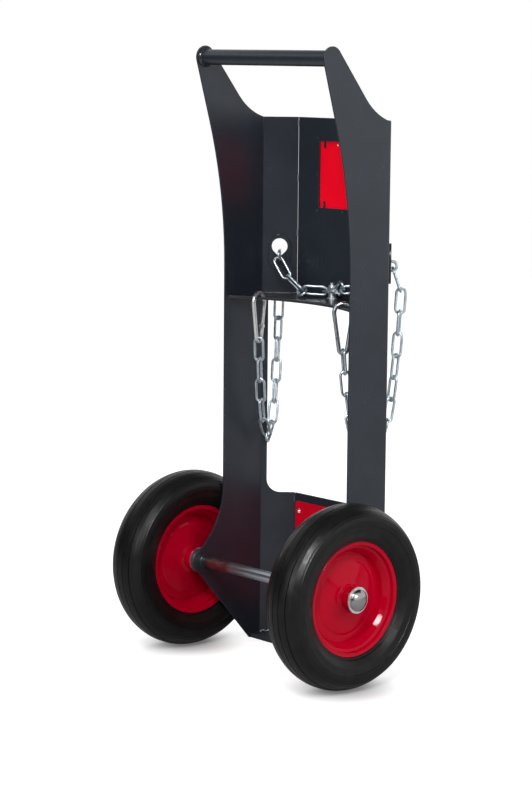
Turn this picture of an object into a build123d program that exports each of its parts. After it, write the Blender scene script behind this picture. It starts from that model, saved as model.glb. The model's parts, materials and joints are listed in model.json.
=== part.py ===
from build123d import *

import os
from math import acos, asin, atan2, ceil, cos, degrees, hypot, radians, sin, sqrt

import numpy as np

# Sizes are in millimetres. X is to the user's right, Y runs forward from the axle, Z is up.

# Wheels
TYRE_R = 200.0
TYRE_HALF_W = 50.5
TREAD_HALF_W = 47.0
SHOULDER_R = 182.0
SIDEWALL_R = 160.0
TREAD_GROOVES = (8.0, 25.0)
GROOVE_W = 2.2
GROOVE_DEPTH = 3.0
RIM_LIP_R = 122.3
RIM_HALF_W = 31.5
RIM_WELL_R = 98.5
RIM_T = 2.5
RIM_EDGE_R = 1.55
RIM_FLANGE_IN = 11.2
RIM_FLANGE_DROP = 8.6
RIM_WELL_HALF_W = 2.5
RIM_TYRE_GAP = 0.2
DISC_T = 2.5
DISC_LAP = 0.1
DISC_RING_R = 77.0
DISC_RING_W = 3.0
DISC_RING_RISE = 2.0
DISC_CONE = 9.5
DISC_FLARE = 5.0
HUB_R = 24.0
HUB_BORE_R = 18.0
HUB_LENGTH = 75.0
HUB_FLARE = 7.0
BEARING_LENGTH = 28.0
BEARING_GAP = 0.03
PRESS_GAP = 0.02

# Axle
AXLE_D = 25.0
AXLE_HOLE_GAP = 0.05
SPACER_LENGTH = 12.0
SPACER_R = 19.0
WASHER_R = 28.3
INNER_WASHER_T = 3.0
OUTER_WASHER_T = 2.5
WASHER_GAP = 0.2
WHEEL_PLAY = 0.6
CAP_OVERHANG = 11.3
CAP_H = 9.0
CAP_T = 1.2
AXLE_END = 4.5

# Body sheet
BODY_HALF_W = 202.6
SHEET_T = 4.0
BEND_R = 6.0
BEND_Y = 168.7
FLANGE_ANGLE = 45.0
FLANGE_LENGTH = 80.0
WINDOW_CHAIN_ROOM = 28.0
WINDOW_LOW_R = 30.0
WINDOW_TOP_R = 6.0
HANDLE_Y = -3.5
HANDLE_Z = 1325.0
EAR_R = 25.0
THROAT_DROP = 131.0
THROAT_R = 140.0
FRONT_SLOPE = 51.3
BACK_Y = 56.3
BACK_R = 1150.0
BACK_CURVE_DROP = 459.0
LOWER_R = 184.0
TIP_R = 29.0
FOOT_Y = 138.0

# Panels
PANEL_SLIT = 0.5
WELD_BEAD_R = 2.4
WELD_BEAD_LENGTH = 14.0
UPPER_WELD_BEADS = 4
LOWER_WELD_BEADS = 3
SIGN_TOP_DROP = 51.4
SIGN_W = 148.0
SIGN_H = 147.6
SIGN_TAB_X = 58.5
SIGN_TAB_W = 4.0
SIGN_TAB_LENGTH = 15.0
SIGN_MARGIN = 14.0
SIGN_T = 2.0
SIGN_CORNER_R = 4.0
SIGN_HOLE_X = 20.0
SIGN_HOLE_DROP = 8.0
SIGN_HOLE_R = 2.0
RIVET_MARGIN = 7.0
RIVET_R = 2.0
RIVET_HEAD_R = 3.6
RIVET_HEAD_H = 1.2
LOWER_TOP_Z = 338.5
LOWER_PLATE_MARGIN = 8.0
LOWER_PLATE_TOP_Z = 320.0
LOWER_PLATE_H = 260.0
LOWER_PLATE_T = 3.0
LOWER_PLATE_R = 5.0
SCREW_INSET_X = 12.0
SCREW_INSET_Z = 22.0
SCREW_R = 3.0
SCREW_HEAD_R = 5.25
SCREW_HEAD_H = 3.3
SCREW_CROWN_R = 3.7
SCREW_CROWN_H = 2.65
SCREW_SOCKET_R = 2.1
SCREW_SOCKET_DEPTH = 2.0
SCREW_TAIL = 1.5
SCREW_GAP = 0.2
SMALL_NUT_AF = 10.0
SMALL_NUT_H = 5.0

# Shelf and base plate
SHELF_TOP_Z = 798.3
SHELF_T = 6.0
SHELF_MID_Y = 117.0
SHELF_EDGE_R = 412.0
SHELF_GAP = 0.1
BASE_T = 10.0
BASE_REAR_Y = 140.0
BASE_KNEE_Y = 165.0
BASE_SIDE_Y = 255.0
BASE_SIDE_INSET = 48.6
TOE_FRONT_Y = 320.0
TOE_HALF_W = 95.0
TOE_R = 18.0

# Handle tube
TUBE_R = 16.85
TUBE_WALL = 2.6
HANDLE_WELD_LEG = 5.0
AXLE_WELD_LEG = 2.5

# Keyhole and its doubler
KEYHOLE_ALONG = 39.5
KEYHOLE_UP = 105.2
KEYHOLE_R = 17.8
KEYHOLE_NECK = 12.0
SLOT_GAP = 1.25
SLOT_DROP = 32.8
DOUBLER_R = 29.5
DOUBLER_T = 5.0

# Chain
CHAIN_WIRE = 6.0
LINK_INNER_LENGTH = 48.0
LINK_INNER_W = 14.0
LINK_GAP = 0.3
LINK_WELD_GROW = 0.4
LINK_WELD_LENGTH = 3.0
TAIL_LINKS = 13
FIRST_LINK_LEAN = 19.0
LEFT_TWIST_LINKS = 3
RIGHT_TWIST_LINKS = 6
INNER_SLACK = 1.1
LEFT_INNER_TURNS = (0.25, 0.27, -1.03, 0.86)
LEFT_INNER_DIPS = (1.09, 0.74, 0.19, 0.06)
LEFT_INNER_TWISTS = (-10.5, 0.0, 5.5, 8.5)
RIGHT_INNER_TURNS = (0.07, 0.08, -0.67, 0.13)
RIGHT_INNER_DIPS = (1.1, 0.5, 0.1, 0.5)
RIGHT_INNER_TWISTS = (0.0, -9.5, -12.0, -6.0)
SEAT_GAP = 0.4

# First guesses and limits for finding how the chains hang, in radians where they are angles
TAIL_SAG_GUESS = 2.5
TAIL_LOW_GUESS = 0.65
TAIL_REACH = 0.3
INNER_DIP_GUESS = 0.7
INNER_ZIGZAG_GUESS = 0.8
INNER_REACH = 0.1
CLOSING_ROUNDS = 120
CLOSING_ERROR = 1e-6
CLOSING_STEP = 1e-5

# Anchor on the shelf
ANCHOR_SETBACK = 27.0
BOLT_D = 12.0
BOLT_END = 6.0
BOLT_CHAMFER = 1.0
BOLT_HEAD_H = 7.5
BOLT_AF = 19.0
BOLT_GAP = 0.2
ANCHOR_WASHER_R = 12.0
ANCHOR_WASHER_T = 2.5
BUSH_R = 9.0
BUSH_H = 11.0
STRIP_LENGTH = 56.0
STRIP_W = 22.0
STRIP_T = 4.0
STRIP_HOLE_X = 17.0
STRIP_HOLE_GAP = 3.0
LOCK_NUT_H = 12.0
LOCK_NUT_HEX_H = 8.6
LOCK_COLLAR_R = 8.75

# Snap hooks
LEFT_HOOK_INSET = 66.0
RIGHT_HOOK_INSET = 71.0
LEFT_HOOK_TURN = 12.0
RIGHT_HOOK_TURN = 38.0
HOOK_WIRE = 9.5
HOOK_LENGTH = 117.0
HOOK_TOP_R = 20.0
HOOK_EYE_GAP = 1.0
HOOK_STRIP = 16.0
HOOK_GAP = 0.5
NOSE_LENGTH = 18.0
STUB_LENGTH = 21.0
GATE_GAP = 0.6
GATE_R = 4.6
TONGUE_T = 3.6
TONGUE_LENGTH = 4.5
TONGUE_W = 7.0
TONGUE_GAP = 0.4
KNUCKLE_R = 4.1
GATE_RIVET_R = 1.7
GATE_RIVET_PROUD = 0.5
RIVET_RUN_GAP = 0.05
GATE_SPRING_R = 1.6
GATE_SPRING_LENGTH = 10.0
GATE_SPRING_GAP = 0.15

# Places that follow from the sizes above
AXLE_R = AXLE_D / 2
AXLE_Z = TYRE_R
AXLE_SHIFT = -(TOE_FRONT_Y - TYRE_R) / 2
SHEET_X = BODY_HALF_W - SHEET_T / 2
INNER_X = BODY_HALF_W - SHEET_T
FLANGE_COS = cos(radians(FLANGE_ANGLE))
FLANGE_SIN = sin(radians(FLANGE_ANGLE))
PANEL_Y = BEND_Y + FLANGE_LENGTH * FLANGE_SIN
FOLD_X = SHEET_X - FLANGE_LENGTH * FLANGE_COS
TOP_Z = HANDLE_Z - THROAT_DROP
SHELF_LOW_Z = SHELF_TOP_Z - SHELF_T
KEYHOLE_Z = SHELF_TOP_Z + KEYHOLE_UP
SIGN_TOP_Z = TOP_Z - SIGN_TOP_DROP
SIGN_MID_Z = SIGN_TOP_Z - SIGN_H / 2
ANCHOR_Y = PANEL_Y - ANCHOR_SETBACK
LOWER_PLATE_HALF_W = FOLD_X - LOWER_PLATE_MARGIN
CAP_R = AXLE_R + CAP_OVERHANG
HUB_IN_X = BODY_HALF_W + SPACER_LENGTH + INNER_WASHER_T + WHEEL_PLAY / 2
WHEEL_X = HUB_IN_X + HUB_LENGTH / 2
OUTER_WASHER_X = HUB_IN_X + HUB_LENGTH + WHEEL_PLAY / 2
CAP_X = OUTER_WASHER_X + OUTER_WASHER_T
SLOT_HALF_W = CHAIN_WIRE / 2 + SLOT_GAP
STRIP_HOLE_R = CHAIN_WIRE / 2 + STRIP_HOLE_GAP
HOOK_LOW_R = HOOK_WIRE / 2 + CHAIN_WIRE / 2 + HOOK_EYE_GAP
LINK_WIDTH = LINK_INNER_W + 2 * CHAIN_WIRE
WINDOW_STRIP = WINDOW_CHAIN_ROOM - LINK_WIDTH / 2
LINK_END_R = (LINK_WIDTH - CHAIN_WIRE) / 2
LINK_STRAIGHT = LINK_INNER_LENGTH - LINK_INNER_W
LINK_STEP = 2 * LINK_END_R - CHAIN_WIRE - LINK_GAP
LINK_PITCH = LINK_STRAIGHT + LINK_STEP


def save(name, *shapes):
    """Write one named piece, moved so that the origin is under the middle of the trolley."""
    solids = [solid for shape in shapes for solid in shape.solids()]
    body = solids[0] if len(solids) == 1 else Compound(solids)
    export_step(Pos(0, AXLE_SHIFT, 0) * body, f"parts/{name}.step")


def mirrored(shape):
    """The same piece on the other side of the trolley."""
    return mirror(shape, about=Plane.YZ)


def polar(centre, radius, angle):
    """Point at an angle (degrees) on a circle."""
    return (centre[0] + radius * cos(radians(angle)), centre[1] + radius * sin(radians(angle)))


def face_of(*edges):
    """Flat face closed by edges that follow one another."""
    return make_face(Curve() + list(edges))


def turned(profile):
    """Ring about the X axis from a section drawn as (x, radius)."""
    return revolve(profile, axis=Axis.X, revolution_arc=360)


def at_axle(shape, x):
    """Move a ring drawn about the X axis to the axle."""
    return Pos(x, 0, AXLE_Z) * shape


def ring(x0, x1, inner_r, outer_r):
    """Plain ring about the X axis."""
    return turned(Pos((x0 + x1) / 2, (inner_r + outer_r) / 2) * Rectangle(x1 - x0, outer_r - inner_r))


def flange_plane():
    """Plane of the right flange: local x runs inwards from the bend, y is up, z is forward."""
    run = (-FLANGE_COS, FLANGE_SIN, 0)
    front = (FLANGE_SIN, FLANGE_COS, 0)
    return Plane(origin=(SHEET_X, BEND_Y, 0), x_dir=run, z_dir=front)


def flange_point(side, along, front, z):
    """Point given along the flange from the bend, in front of its middle, and up."""
    x = SHEET_X - along * FLANGE_COS + front * FLANGE_SIN
    y = BEND_Y + along * FLANGE_SIN + front * FLANGE_COS
    return Vector(side * x, y, z)


# Body sheet

def side_outline():
    """Outline of the flat side with the handle ear, the axle tip and room for the flange."""
    tip = (0.0, AXLE_Z)
    foot = (FOOT_Y, 0.0)
    foot_angle = degrees(atan2(foot[1] - tip[1], foot[0] - tip[0]))
    foot_distance = hypot(foot[0] - tip[0], foot[1] - tip[1])
    tip_low = foot_angle - degrees(acos(TIP_R / foot_distance))

    rise = sqrt((LOWER_R + TIP_R) ** 2 - (LOWER_R - BACK_Y) ** 2)
    lower = (BACK_Y - LOWER_R, AXLE_Z + rise)
    tip_high = degrees(atan2(lower[1] - tip[1], lower[0] - tip[0]))

    ear = (HANDLE_Y, HANDLE_Z)
    back = (BACK_Y - BACK_R, HANDLE_Z - BACK_CURVE_DROP)
    ear_distance = hypot(ear[0] - back[0], ear[1] - back[1])
    back_turn = degrees(atan2(ear[1] - back[1], ear[0] - back[0]) - acos((BACK_R + EAR_R) / ear_distance))

    slope = Vector(cos(radians(FRONT_SLOPE)), -sin(radians(FRONT_SLOPE)))
    outward = Vector(sin(radians(FRONT_SLOPE)), cos(radians(FRONT_SLOPE)))
    outward_angle = 90 - FRONT_SLOPE
    ear_front = Vector(*polar(ear, EAR_R, outward_angle))
    corner = Vector(BEND_Y, TOP_Z)
    offset = (corner - ear_front).dot(outward)
    reach = (corner - ear_front).dot(slope) - sqrt(2 * THROAT_R * offset - offset ** 2)
    throat_start = ear_front + slope * reach
    throat = throat_start + outward * THROAT_R
    throat_end = degrees(atan2(corner.Y - throat.Y, corner.X - throat.X)) % 360

    far = BEND_Y + 2 * FLANGE_LENGTH
    return face_of(
        Line(foot, polar(tip, TIP_R, tip_low)),
        CenterArc(tip, TIP_R, tip_high, tip_low + 360 - tip_high),
        CenterArc(lower, LOWER_R, tip_high - 180, 180 - tip_high),
        Line((BACK_Y, lower[1]), (BACK_Y, back[1])),
        CenterArc(back, BACK_R, 0, back_turn),
        Line(polar(back, BACK_R, back_turn), polar(ear, EAR_R, back_turn + 180)),
        CenterArc(ear, EAR_R, outward_angle, back_turn + 180 - outward_angle),
        Line(ear_front, throat_start),
        CenterArc(throat, THROAT_R, outward_angle + 180, throat_end - outward_angle - 180),
        Polyline(corner, (far, TOP_Z), (far, BASE_T), (BEND_Y, BASE_T), (BEND_Y, 0), foot),
    )


def keyhole_sketch():
    """Round hole that narrows through a tapered neck into a slot with a round end."""
    slot_end = KEYHOLE_Z - SLOT_DROP + SLOT_HALF_W
    neck_top = KEYHOLE_Z - sqrt(KEYHOLE_R ** 2 - KEYHOLE_NECK ** 2)
    neck_low = neck_top - (KEYHOLE_NECK - SLOT_HALF_W)
    neck = Polygon(
        (KEYHOLE_ALONG - KEYHOLE_NECK, neck_top),
        (KEYHOLE_ALONG + KEYHOLE_NECK, neck_top),
        (KEYHOLE_ALONG + SLOT_HALF_W, neck_low),
        (KEYHOLE_ALONG - SLOT_HALF_W, neck_low),
        align=None,
    )
    slot_middle = (slot_end + neck_top) / 2
    slot = Pos(KEYHOLE_ALONG, slot_middle) * Rectangle(2 * SLOT_HALF_W, neck_top - slot_end)
    slot_round = Pos(KEYHOLE_ALONG, slot_end) * Circle(SLOT_HALF_W)
    return Pos(KEYHOLE_ALONG, KEYHOLE_Z) * Circle(KEYHOLE_R) + neck + slot + slot_round


def window_sketch():
    """The part of the flange that is cut away between the lower panel and the shelf."""
    far = FLANGE_LENGTH + SHEET_T
    window = Pos((WINDOW_STRIP + far) / 2, (LOWER_TOP_Z + SHELF_LOW_Z) / 2) * Rectangle(
        far - WINDOW_STRIP, SHELF_LOW_Z - LOWER_TOP_Z)
    corners = window.vertices().group_by(Axis.X)[0].sort_by(Axis.Y)
    window = fillet(corners[0], WINDOW_LOW_R)
    corners = window.vertices().group_by(Axis.X)[0].sort_by(Axis.Y)
    return fillet(corners[-1], WINDOW_TOP_R)


def side_sheet():
    """Right side sheet: one plate bent once, with its flange, keyhole and axle hole."""
    rear = -2 * EAR_R - TYRE_R
    bend = (SHEET_X, BEND_Y)
    end = (SHEET_X - FLANGE_LENGTH * FLANGE_COS, BEND_Y + FLANGE_LENGTH * FLANGE_SIN)
    section = trace(FilletPolyline((SHEET_X, rear), bend, end, radius=BEND_R), SHEET_T)
    sheet = extrude(section, HANDLE_Z + 2 * EAR_R)
    sheet &= extrude(Plane.YZ * side_outline(), BODY_HALF_W + SHEET_T)
    flange = flange_plane()
    sheet -= extrude(flange * window_sketch(), 2 * SHEET_T, both=True)
    sheet -= extrude(flange * keyhole_sketch(), 2 * SHEET_T, both=True)
    axle_hole = Pos(0, AXLE_Z) * Circle(AXLE_R + AXLE_HOLE_GAP)
    return sheet - extrude(Plane.YZ * axle_hole, 2 * BODY_HALF_W)


def keyhole_doubler():
    """Oblong plate welded on the front of the right flange round the keyhole."""
    low = KEYHOLE_Z - SLOT_DROP + SLOT_HALF_W
    oblong = Pos(KEYHOLE_ALONG, (KEYHOLE_Z + low) / 2) * Rectangle(2 * DOUBLER_R, KEYHOLE_Z - low)
    oblong += Pos(KEYHOLE_ALONG, KEYHOLE_Z) * Circle(DOUBLER_R)
    oblong += Pos(KEYHOLE_ALONG, low) * Circle(DOUBLER_R)
    plane = flange_plane().offset(SHEET_T / 2)
    return extrude(plane * (oblong - keyhole_sketch()), DOUBLER_T)


# Panels

def panel_half_width():
    """Half width of the panels, which leaves a slit along each flange end."""
    back = PANEL_Y - SHEET_T / 2 - BEND_Y
    return SHEET_X - (FLANGE_LENGTH + PANEL_SLIT - back * FLANGE_SIN) / FLANGE_COS


def upper_panel():
    """Flat panel with a window that keeps four small tabs."""
    half = panel_half_width()
    middle = (SHELF_LOW_Z + TOP_Z) / 2
    panel = Pos(0, PANEL_Y, middle) * Box(2 * half, SHEET_T, TOP_Z - SHELF_LOW_Z)
    window = Pos(0, SIGN_MID_Z) * Rectangle(SIGN_W, SIGN_H)
    for x in (-SIGN_TAB_X, SIGN_TAB_X):
        for end in (-1, 1):
            z = SIGN_MID_Z + end * (SIGN_H - SIGN_TAB_LENGTH) / 2
            window -= Pos(x, z) * Rectangle(SIGN_TAB_W, SIGN_TAB_LENGTH)
    panel -= extrude(Plane.XZ * window, 2 * PANEL_Y, both=True)
    for x, z in rivet_places():
        panel -= Pos(x, PANEL_Y, z) * Rot(90, 0, 0) * Cylinder(RIVET_R, 2 * SHEET_T)
    return panel


def rivet_places():
    """Rivets round the upper red plate: the corners and the middle of each edge."""
    x = SIGN_W / 2 + RIVET_MARGIN
    z = SIGN_H / 2 + RIVET_MARGIN
    corners = [(-x, -z), (x, -z), (x, z), (-x, z)]
    middles = [(0, -z), (x, 0), (0, z), (-x, 0)]
    return [(px, SIGN_MID_Z + pz) for px, pz in corners + middles]


def upper_red_plate():
    """Red plate on the front of the upper panel, seen from behind through the window."""
    plate = Pos(0, SIGN_MID_Z) * RectangleRounded(
        SIGN_W + 2 * SIGN_MARGIN, SIGN_H + 2 * SIGN_MARGIN, SIGN_CORNER_R)
    for x in (-SIGN_HOLE_X, SIGN_HOLE_X):
        plate -= Pos(x, SIGN_TOP_Z - SIGN_HOLE_DROP) * Circle(SIGN_HOLE_R)
    for x, z in rivet_places():
        plate -= Pos(x, z) * Circle(RIVET_R)
    front = PANEL_Y + SHEET_T / 2
    return extrude(Plane.XZ.offset(-front) * plate, -SIGN_T)


def upper_plate_rivet(x, z):
    """Rivet through the panel and the red plate, with a low round head at each end."""
    grip = SHEET_T + SIGN_T
    half = grip / 2
    head = [
        (-half - RIVET_HEAD_H, 0),
        (-half - RIVET_HEAD_H, RIVET_R),
        (-half, RIVET_HEAD_R),
        (-half, RIVET_R),
        (half, RIVET_R),
        (half, RIVET_HEAD_R),
        (half + RIVET_HEAD_H, RIVET_R),
        (half + RIVET_HEAD_H, 0),
    ]
    rivet = turned(make_face(Polyline(*head, close=True)))
    middle = PANEL_Y - SHEET_T / 2 + half
    return Pos(x, middle, z) * Rot(0, 0, 90) * rivet


def stitch_welds(panel, sheet, low, high, count):
    """Short beads that bridge the slit between a panel and the right flange, between two heights."""
    x = (FOLD_X + panel_half_width()) / 2
    y = PANEL_Y - SHEET_T / 4
    step = (high - low - 2 * WELD_BEAD_LENGTH) / (count - 1)
    beads = []
    for number in range(count):
        z = low + WELD_BEAD_LENGTH + number * step
        bead = Pos(x, y, z) * Cylinder(WELD_BEAD_R, WELD_BEAD_LENGTH)
        pieces = (bead - panel - sheet).solids().sort_by(SortBy.VOLUME)
        beads.append(pieces[-1])
    return beads


def lower_panel():
    """Flat lower panel that stands on the base plate between the flange ends."""
    middle = (BASE_T + LOWER_TOP_Z) / 2
    panel = Pos(0, PANEL_Y, middle) * Box(2 * panel_half_width(), SHEET_T, LOWER_TOP_Z - BASE_T)
    for x, z in screw_places():
        panel -= Pos(x, PANEL_Y, z) * Rot(90, 0, 0) * Cylinder(SCREW_R + SCREW_GAP, 2 * SHEET_T)
    return panel


def screw_places():
    """Screws near the corners of the lower red plate."""
    x = LOWER_PLATE_HALF_W - SCREW_INSET_X
    high = LOWER_PLATE_TOP_Z - SCREW_INSET_Z
    low = LOWER_PLATE_TOP_Z - LOWER_PLATE_H + SCREW_INSET_Z
    return [(-x, high), (x, high), (-x, low), (x, low)]


def lower_red_plate():
    """Red plate screwed on the user's side of the lower panel."""
    plate = Pos(0, LOWER_PLATE_TOP_Z - LOWER_PLATE_H / 2) * RectangleRounded(
        2 * LOWER_PLATE_HALF_W, LOWER_PLATE_H, LOWER_PLATE_R)
    for x, z in screw_places():
        plate -= Pos(x, z) * Circle(SCREW_R + SCREW_GAP)
    back = PANEL_Y - SHEET_T / 2
    return extrude(Plane.XZ.offset(-back) * plate, LOWER_PLATE_T)


def lower_plate_screw(x, z):
    """Button-head screw with a hexagon socket, from the user's side."""
    seat = PANEL_Y - SHEET_T / 2 - LOWER_PLATE_T
    length = LOWER_PLATE_T + SHEET_T + SMALL_NUT_H + SCREW_TAIL
    crown = (-SCREW_CROWN_H, SCREW_CROWN_R)
    head = make_face(
        Polyline((-SCREW_HEAD_H, 0), (0, 0), (0, SCREW_HEAD_R))
        + ThreePointArc((0, SCREW_HEAD_R), crown, (-SCREW_HEAD_H, SCREW_R))
        + Line((-SCREW_HEAD_H, SCREW_R), (-SCREW_HEAD_H, 0)))
    screw = turned(head) + ring(0, length, 0, SCREW_R)
    socket = Plane.YZ.offset(-SCREW_HEAD_H) * RegularPolygon(SCREW_SOCKET_R, 6)
    screw -= extrude(socket, SCREW_SOCKET_DEPTH)
    return Pos(x, seat, z) * Rot(0, 0, 90) * screw


def lower_plate_nut(x, z):
    """Nut on the front of the lower panel."""
    outline = RegularPolygon(SMALL_NUT_AF / 2, 6, major_radius=False) - Circle(SCREW_R + PRESS_GAP)
    nut = extrude(outline, SMALL_NUT_H)
    return Pos(x, PANEL_Y + SHEET_T / 2, z) * Rot(-90, 0, 0) * nut


# Shelf and base plate

def shelf_edge_y(x):
    """Distance of the shelf's hollowed back edge from the axle."""
    return SHELF_MID_Y - (SHELF_EDGE_R - sqrt(SHELF_EDGE_R ** 2 - x ** 2))


def hook_frame(side):
    """Middle of the shelf strip that one snap hook hangs on, and the hook's forward direction."""
    turn = radians(RIGHT_HOOK_TURN if side > 0 else LEFT_HOOK_TURN)
    x = SHEET_X - (RIGHT_HOOK_INSET if side > 0 else LEFT_HOOK_INSET)
    forward = Vector(side * sin(turn), cos(turn), 0)
    edge = Vector(side * x, shelf_edge_y(x), SHELF_TOP_Z)
    return edge + forward * (HOOK_STRIP / 2), forward


def shelf():
    """Shelf plate between the side sheets, flanges and upper panel's foot line."""
    side_x = INNER_X - SHELF_GAP
    rear_y = shelf_edge_y(side_x)
    front_y = PANEL_Y - SHEET_T / 2 - SHELF_GAP
    back = -(SHEET_T / 2 + SHELF_GAP)
    knee_along = (SHEET_X + back * FLANGE_SIN - side_x) / FLANGE_COS
    knee = flange_point(1, knee_along, back, 0)
    corner_along = (front_y - BEND_Y - back * FLANGE_COS) / FLANGE_SIN
    corner = flange_point(1, corner_along, back, 0)
    outline = face_of(
        ThreePointArc((-side_x, rear_y), (0, SHELF_MID_Y), (side_x, rear_y)),
        Polyline((side_x, rear_y), (side_x, knee.Y), (corner.X, corner.Y)),
        Line((corner.X, corner.Y), (-corner.X, corner.Y)),
        Polyline((-corner.X, corner.Y), (-side_x, knee.Y), (-side_x, rear_y)),
    )
    knees = [v for v in outline.vertices() if abs(v.Y - knee.Y) < 0.01]
    outline = fillet(knees, BEND_R)
    plate = Pos(0, 0, SHELF_LOW_Z) * extrude(outline, SHELF_T)
    for side in (-1, 1):
        middle, forward = hook_frame(side)
        hole = middle + forward * HOOK_TOP_R
        plate -= Pos(hole.X, hole.Y, SHELF_TOP_Z) * Cylinder(HOOK_TOP_R - HOOK_STRIP / 2, 4 * SHELF_T)
    return plate - Pos(0, ANCHOR_Y, SHELF_TOP_Z) * Cylinder(BOLT_D / 2 + BOLT_GAP, 4 * SHELF_T)


def base_plate():
    """Toe plate on the floor, with its front corners cut off."""
    knee_x = INNER_X - SHELF_GAP
    side_x = INNER_X - BASE_SIDE_INSET
    half = [(knee_x, BASE_REAR_Y), (knee_x, BASE_KNEE_Y), (side_x, BASE_SIDE_Y), (TOE_HALF_W, TOE_FRONT_Y)]
    outline = make_face(Polyline(*half, *[(-x, y) for x, y in reversed(half)], close=True))
    front = [v for v in outline.vertices() if v.Y > BASE_KNEE_Y + 1]
    return extrude(fillet(front, TOE_R), BASE_T)


# Handle and axle

def handle_tube():
    """Cross tube between the ears of the side sheets."""
    return Pos(0, HANDLE_Y, HANDLE_Z) * ring(-INNER_X, INNER_X, TUBE_R - TUBE_WALL, TUBE_R)


def weld_ring(radius, leg):
    """Fillet weld round a bar, against the inside of the right side sheet."""
    corners = [(INNER_X, radius), (INNER_X, radius + leg), (INNER_X - leg, radius)]
    return turned(make_face(Polyline(*corners, close=True)))


def hub_cap():
    """Domed push-on cap over the right end of the axle, with a gripping plate in its mouth."""
    dome_r = (CAP_R ** 2 + CAP_H ** 2) / (2 * CAP_H)
    middle = (CAP_H - dome_r, 0)
    inner_r = dome_r - CAP_T
    outer_turn = degrees(acos(-middle[0] / dome_r))
    inner_turn = degrees(acos(-middle[0] / inner_r))
    mouth_r = polar(middle, inner_r, inner_turn)[1]
    shell = face_of(
        CenterArc(middle, dome_r, 0, outer_turn),
        Line((0, CAP_R), (0, mouth_r)),
        CenterArc(middle, inner_r, 0, inner_turn),
        Line((CAP_H - CAP_T, 0), (CAP_H, 0)),
    )
    grip = ring(0, CAP_T, AXLE_R + AXLE_HOLE_GAP, mouth_r)
    return at_axle(turned(shell) + grip, CAP_X)


# Wheel

def rim_line():
    """Middle of the rim sheet, from lip to lip, as (x, radius)."""
    half = [
        (RIM_HALF_W, RIM_LIP_R),
        (RIM_HALF_W - RIM_FLANGE_IN, RIM_LIP_R - RIM_FLANGE_DROP),
        (RIM_WELL_HALF_W, RIM_WELL_R),
    ]
    return half + [(-x, r) for x, r in reversed(half)]


def rim():
    """Red rim: a rolled sheet with a round edge on each lip."""
    section = trace(Polyline(*rim_line()), RIM_T)
    for side in (-1, 1):
        section += Pos(side * RIM_HALF_W, RIM_LIP_R) * Circle(RIM_EDGE_R)
    return turned(section)


def tyre():
    """Solid tyre with a ribbed tread, cut to the outside of the rim."""
    foot_x = RIM_HALF_W
    foot_r = RIM_WELL_R - 2 * RIM_T
    crown = ThreePointArc((-TREAD_HALF_W, SHOULDER_R), (0, TYRE_R), (TREAD_HALF_W, SHOULDER_R))
    lip_r = RIM_LIP_R + RIM_T / 2
    right = ThreePointArc((TREAD_HALF_W, SHOULDER_R), (TYRE_HALF_W, SIDEWALL_R), (foot_x, lip_r))
    left = ThreePointArc((-foot_x, lip_r), (-TYRE_HALF_W, SIDEWALL_R), (-TREAD_HALF_W, SHOULDER_R))
    foot = Polyline((foot_x, lip_r), (foot_x, foot_r), (-foot_x, foot_r), (-foot_x, lip_r))
    body = turned(face_of(crown, right, foot, left))
    crown_r = (TREAD_HALF_W ** 2 + (TYRE_R - SHOULDER_R) ** 2) / (2 * (TYRE_R - SHOULDER_R))
    for x in TREAD_GROOVES:
        surface = TYRE_R - crown_r + sqrt(crown_r ** 2 - x ** 2)
        groove = ring(x - GROOVE_W / 2, x + GROOVE_W / 2, surface - GROOVE_DEPTH, surface + GROOVE_DEPTH)
        body = body - groove - mirrored(groove)
    line = rim_line()
    under = make_face(Polyline(*line, (line[-1][0], 0), (line[0][0], 0), close=True))
    envelope = under + trace(Polyline(*line), RIM_T + 2 * RIM_TYRE_GAP)
    for side in (-1, 1):
        envelope += Pos(side * RIM_HALF_W, RIM_LIP_R) * Circle(RIM_EDGE_R + RIM_TYRE_GAP)
    return body - turned(envelope & Pos(0, TYRE_R / 2) * Rectangle(2 * TYRE_R, TYRE_R))


def wheel_disc():
    """Red disc: two pressed shells back to back, each with an embossed ring and a cone to the hub."""
    edge_r = RIM_WELL_R - RIM_T / 2 - PRESS_GAP
    middle = DISC_T / 2 - DISC_LAP
    line = Polyline(
        (middle, edge_r),
        (middle, DISC_RING_R + DISC_RING_W),
        (middle + DISC_RING_RISE, DISC_RING_R),
        (middle + DISC_CONE, HUB_R + HUB_FLARE),
        (middle + DISC_CONE + DISC_FLARE, HUB_R + DISC_T / 2 + PRESS_GAP),
    )
    shell = turned(trace(line, DISC_T))
    disc = shell + mirrored(shell)
    return disc & ring(-TYRE_R, TYRE_R, HUB_R + PRESS_GAP, edge_r)


def hub_tube():
    """Tube that carries the disc and holds the two bearings."""
    return ring(-HUB_LENGTH / 2, HUB_LENGTH / 2, HUB_BORE_R, HUB_R)


def bearing(side):
    """Roller bearing cage at one end of the hub."""
    end = side * HUB_LENGTH / 2
    start = end - side * BEARING_LENGTH
    return ring(min(start, end), max(start, end), AXLE_R + BEARING_GAP, HUB_BORE_R - PRESS_GAP)


# Chain

def link_shape():
    """One chain link, long along X and flat in XY, with its weld on one side."""
    wire = CHAIN_WIRE / 2
    half = LINK_STRAIGHT / 2
    rods = [Pos(0, y, 0) * Rot(0, 90, 0) * Cylinder(wire, LINK_STRAIGHT) for y in (-LINK_END_R, LINK_END_R)]
    round_end = revolve(Plane.YZ * Pos(LINK_END_R, 0) * Circle(wire), axis=Axis.Z, revolution_arc=-180)
    ends = [Pos(half, 0, 0) * round_end, Pos(-half, 0, 0) * Rot(0, 0, 180) * round_end]
    weld = Pos(0, LINK_END_R, 0) * Rot(0, 90, 0) * Cylinder(wire + LINK_WELD_GROW, LINK_WELD_LENGTH)
    return rods[0] + rods[1] + ends[0] + ends[1] + weld


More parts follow.
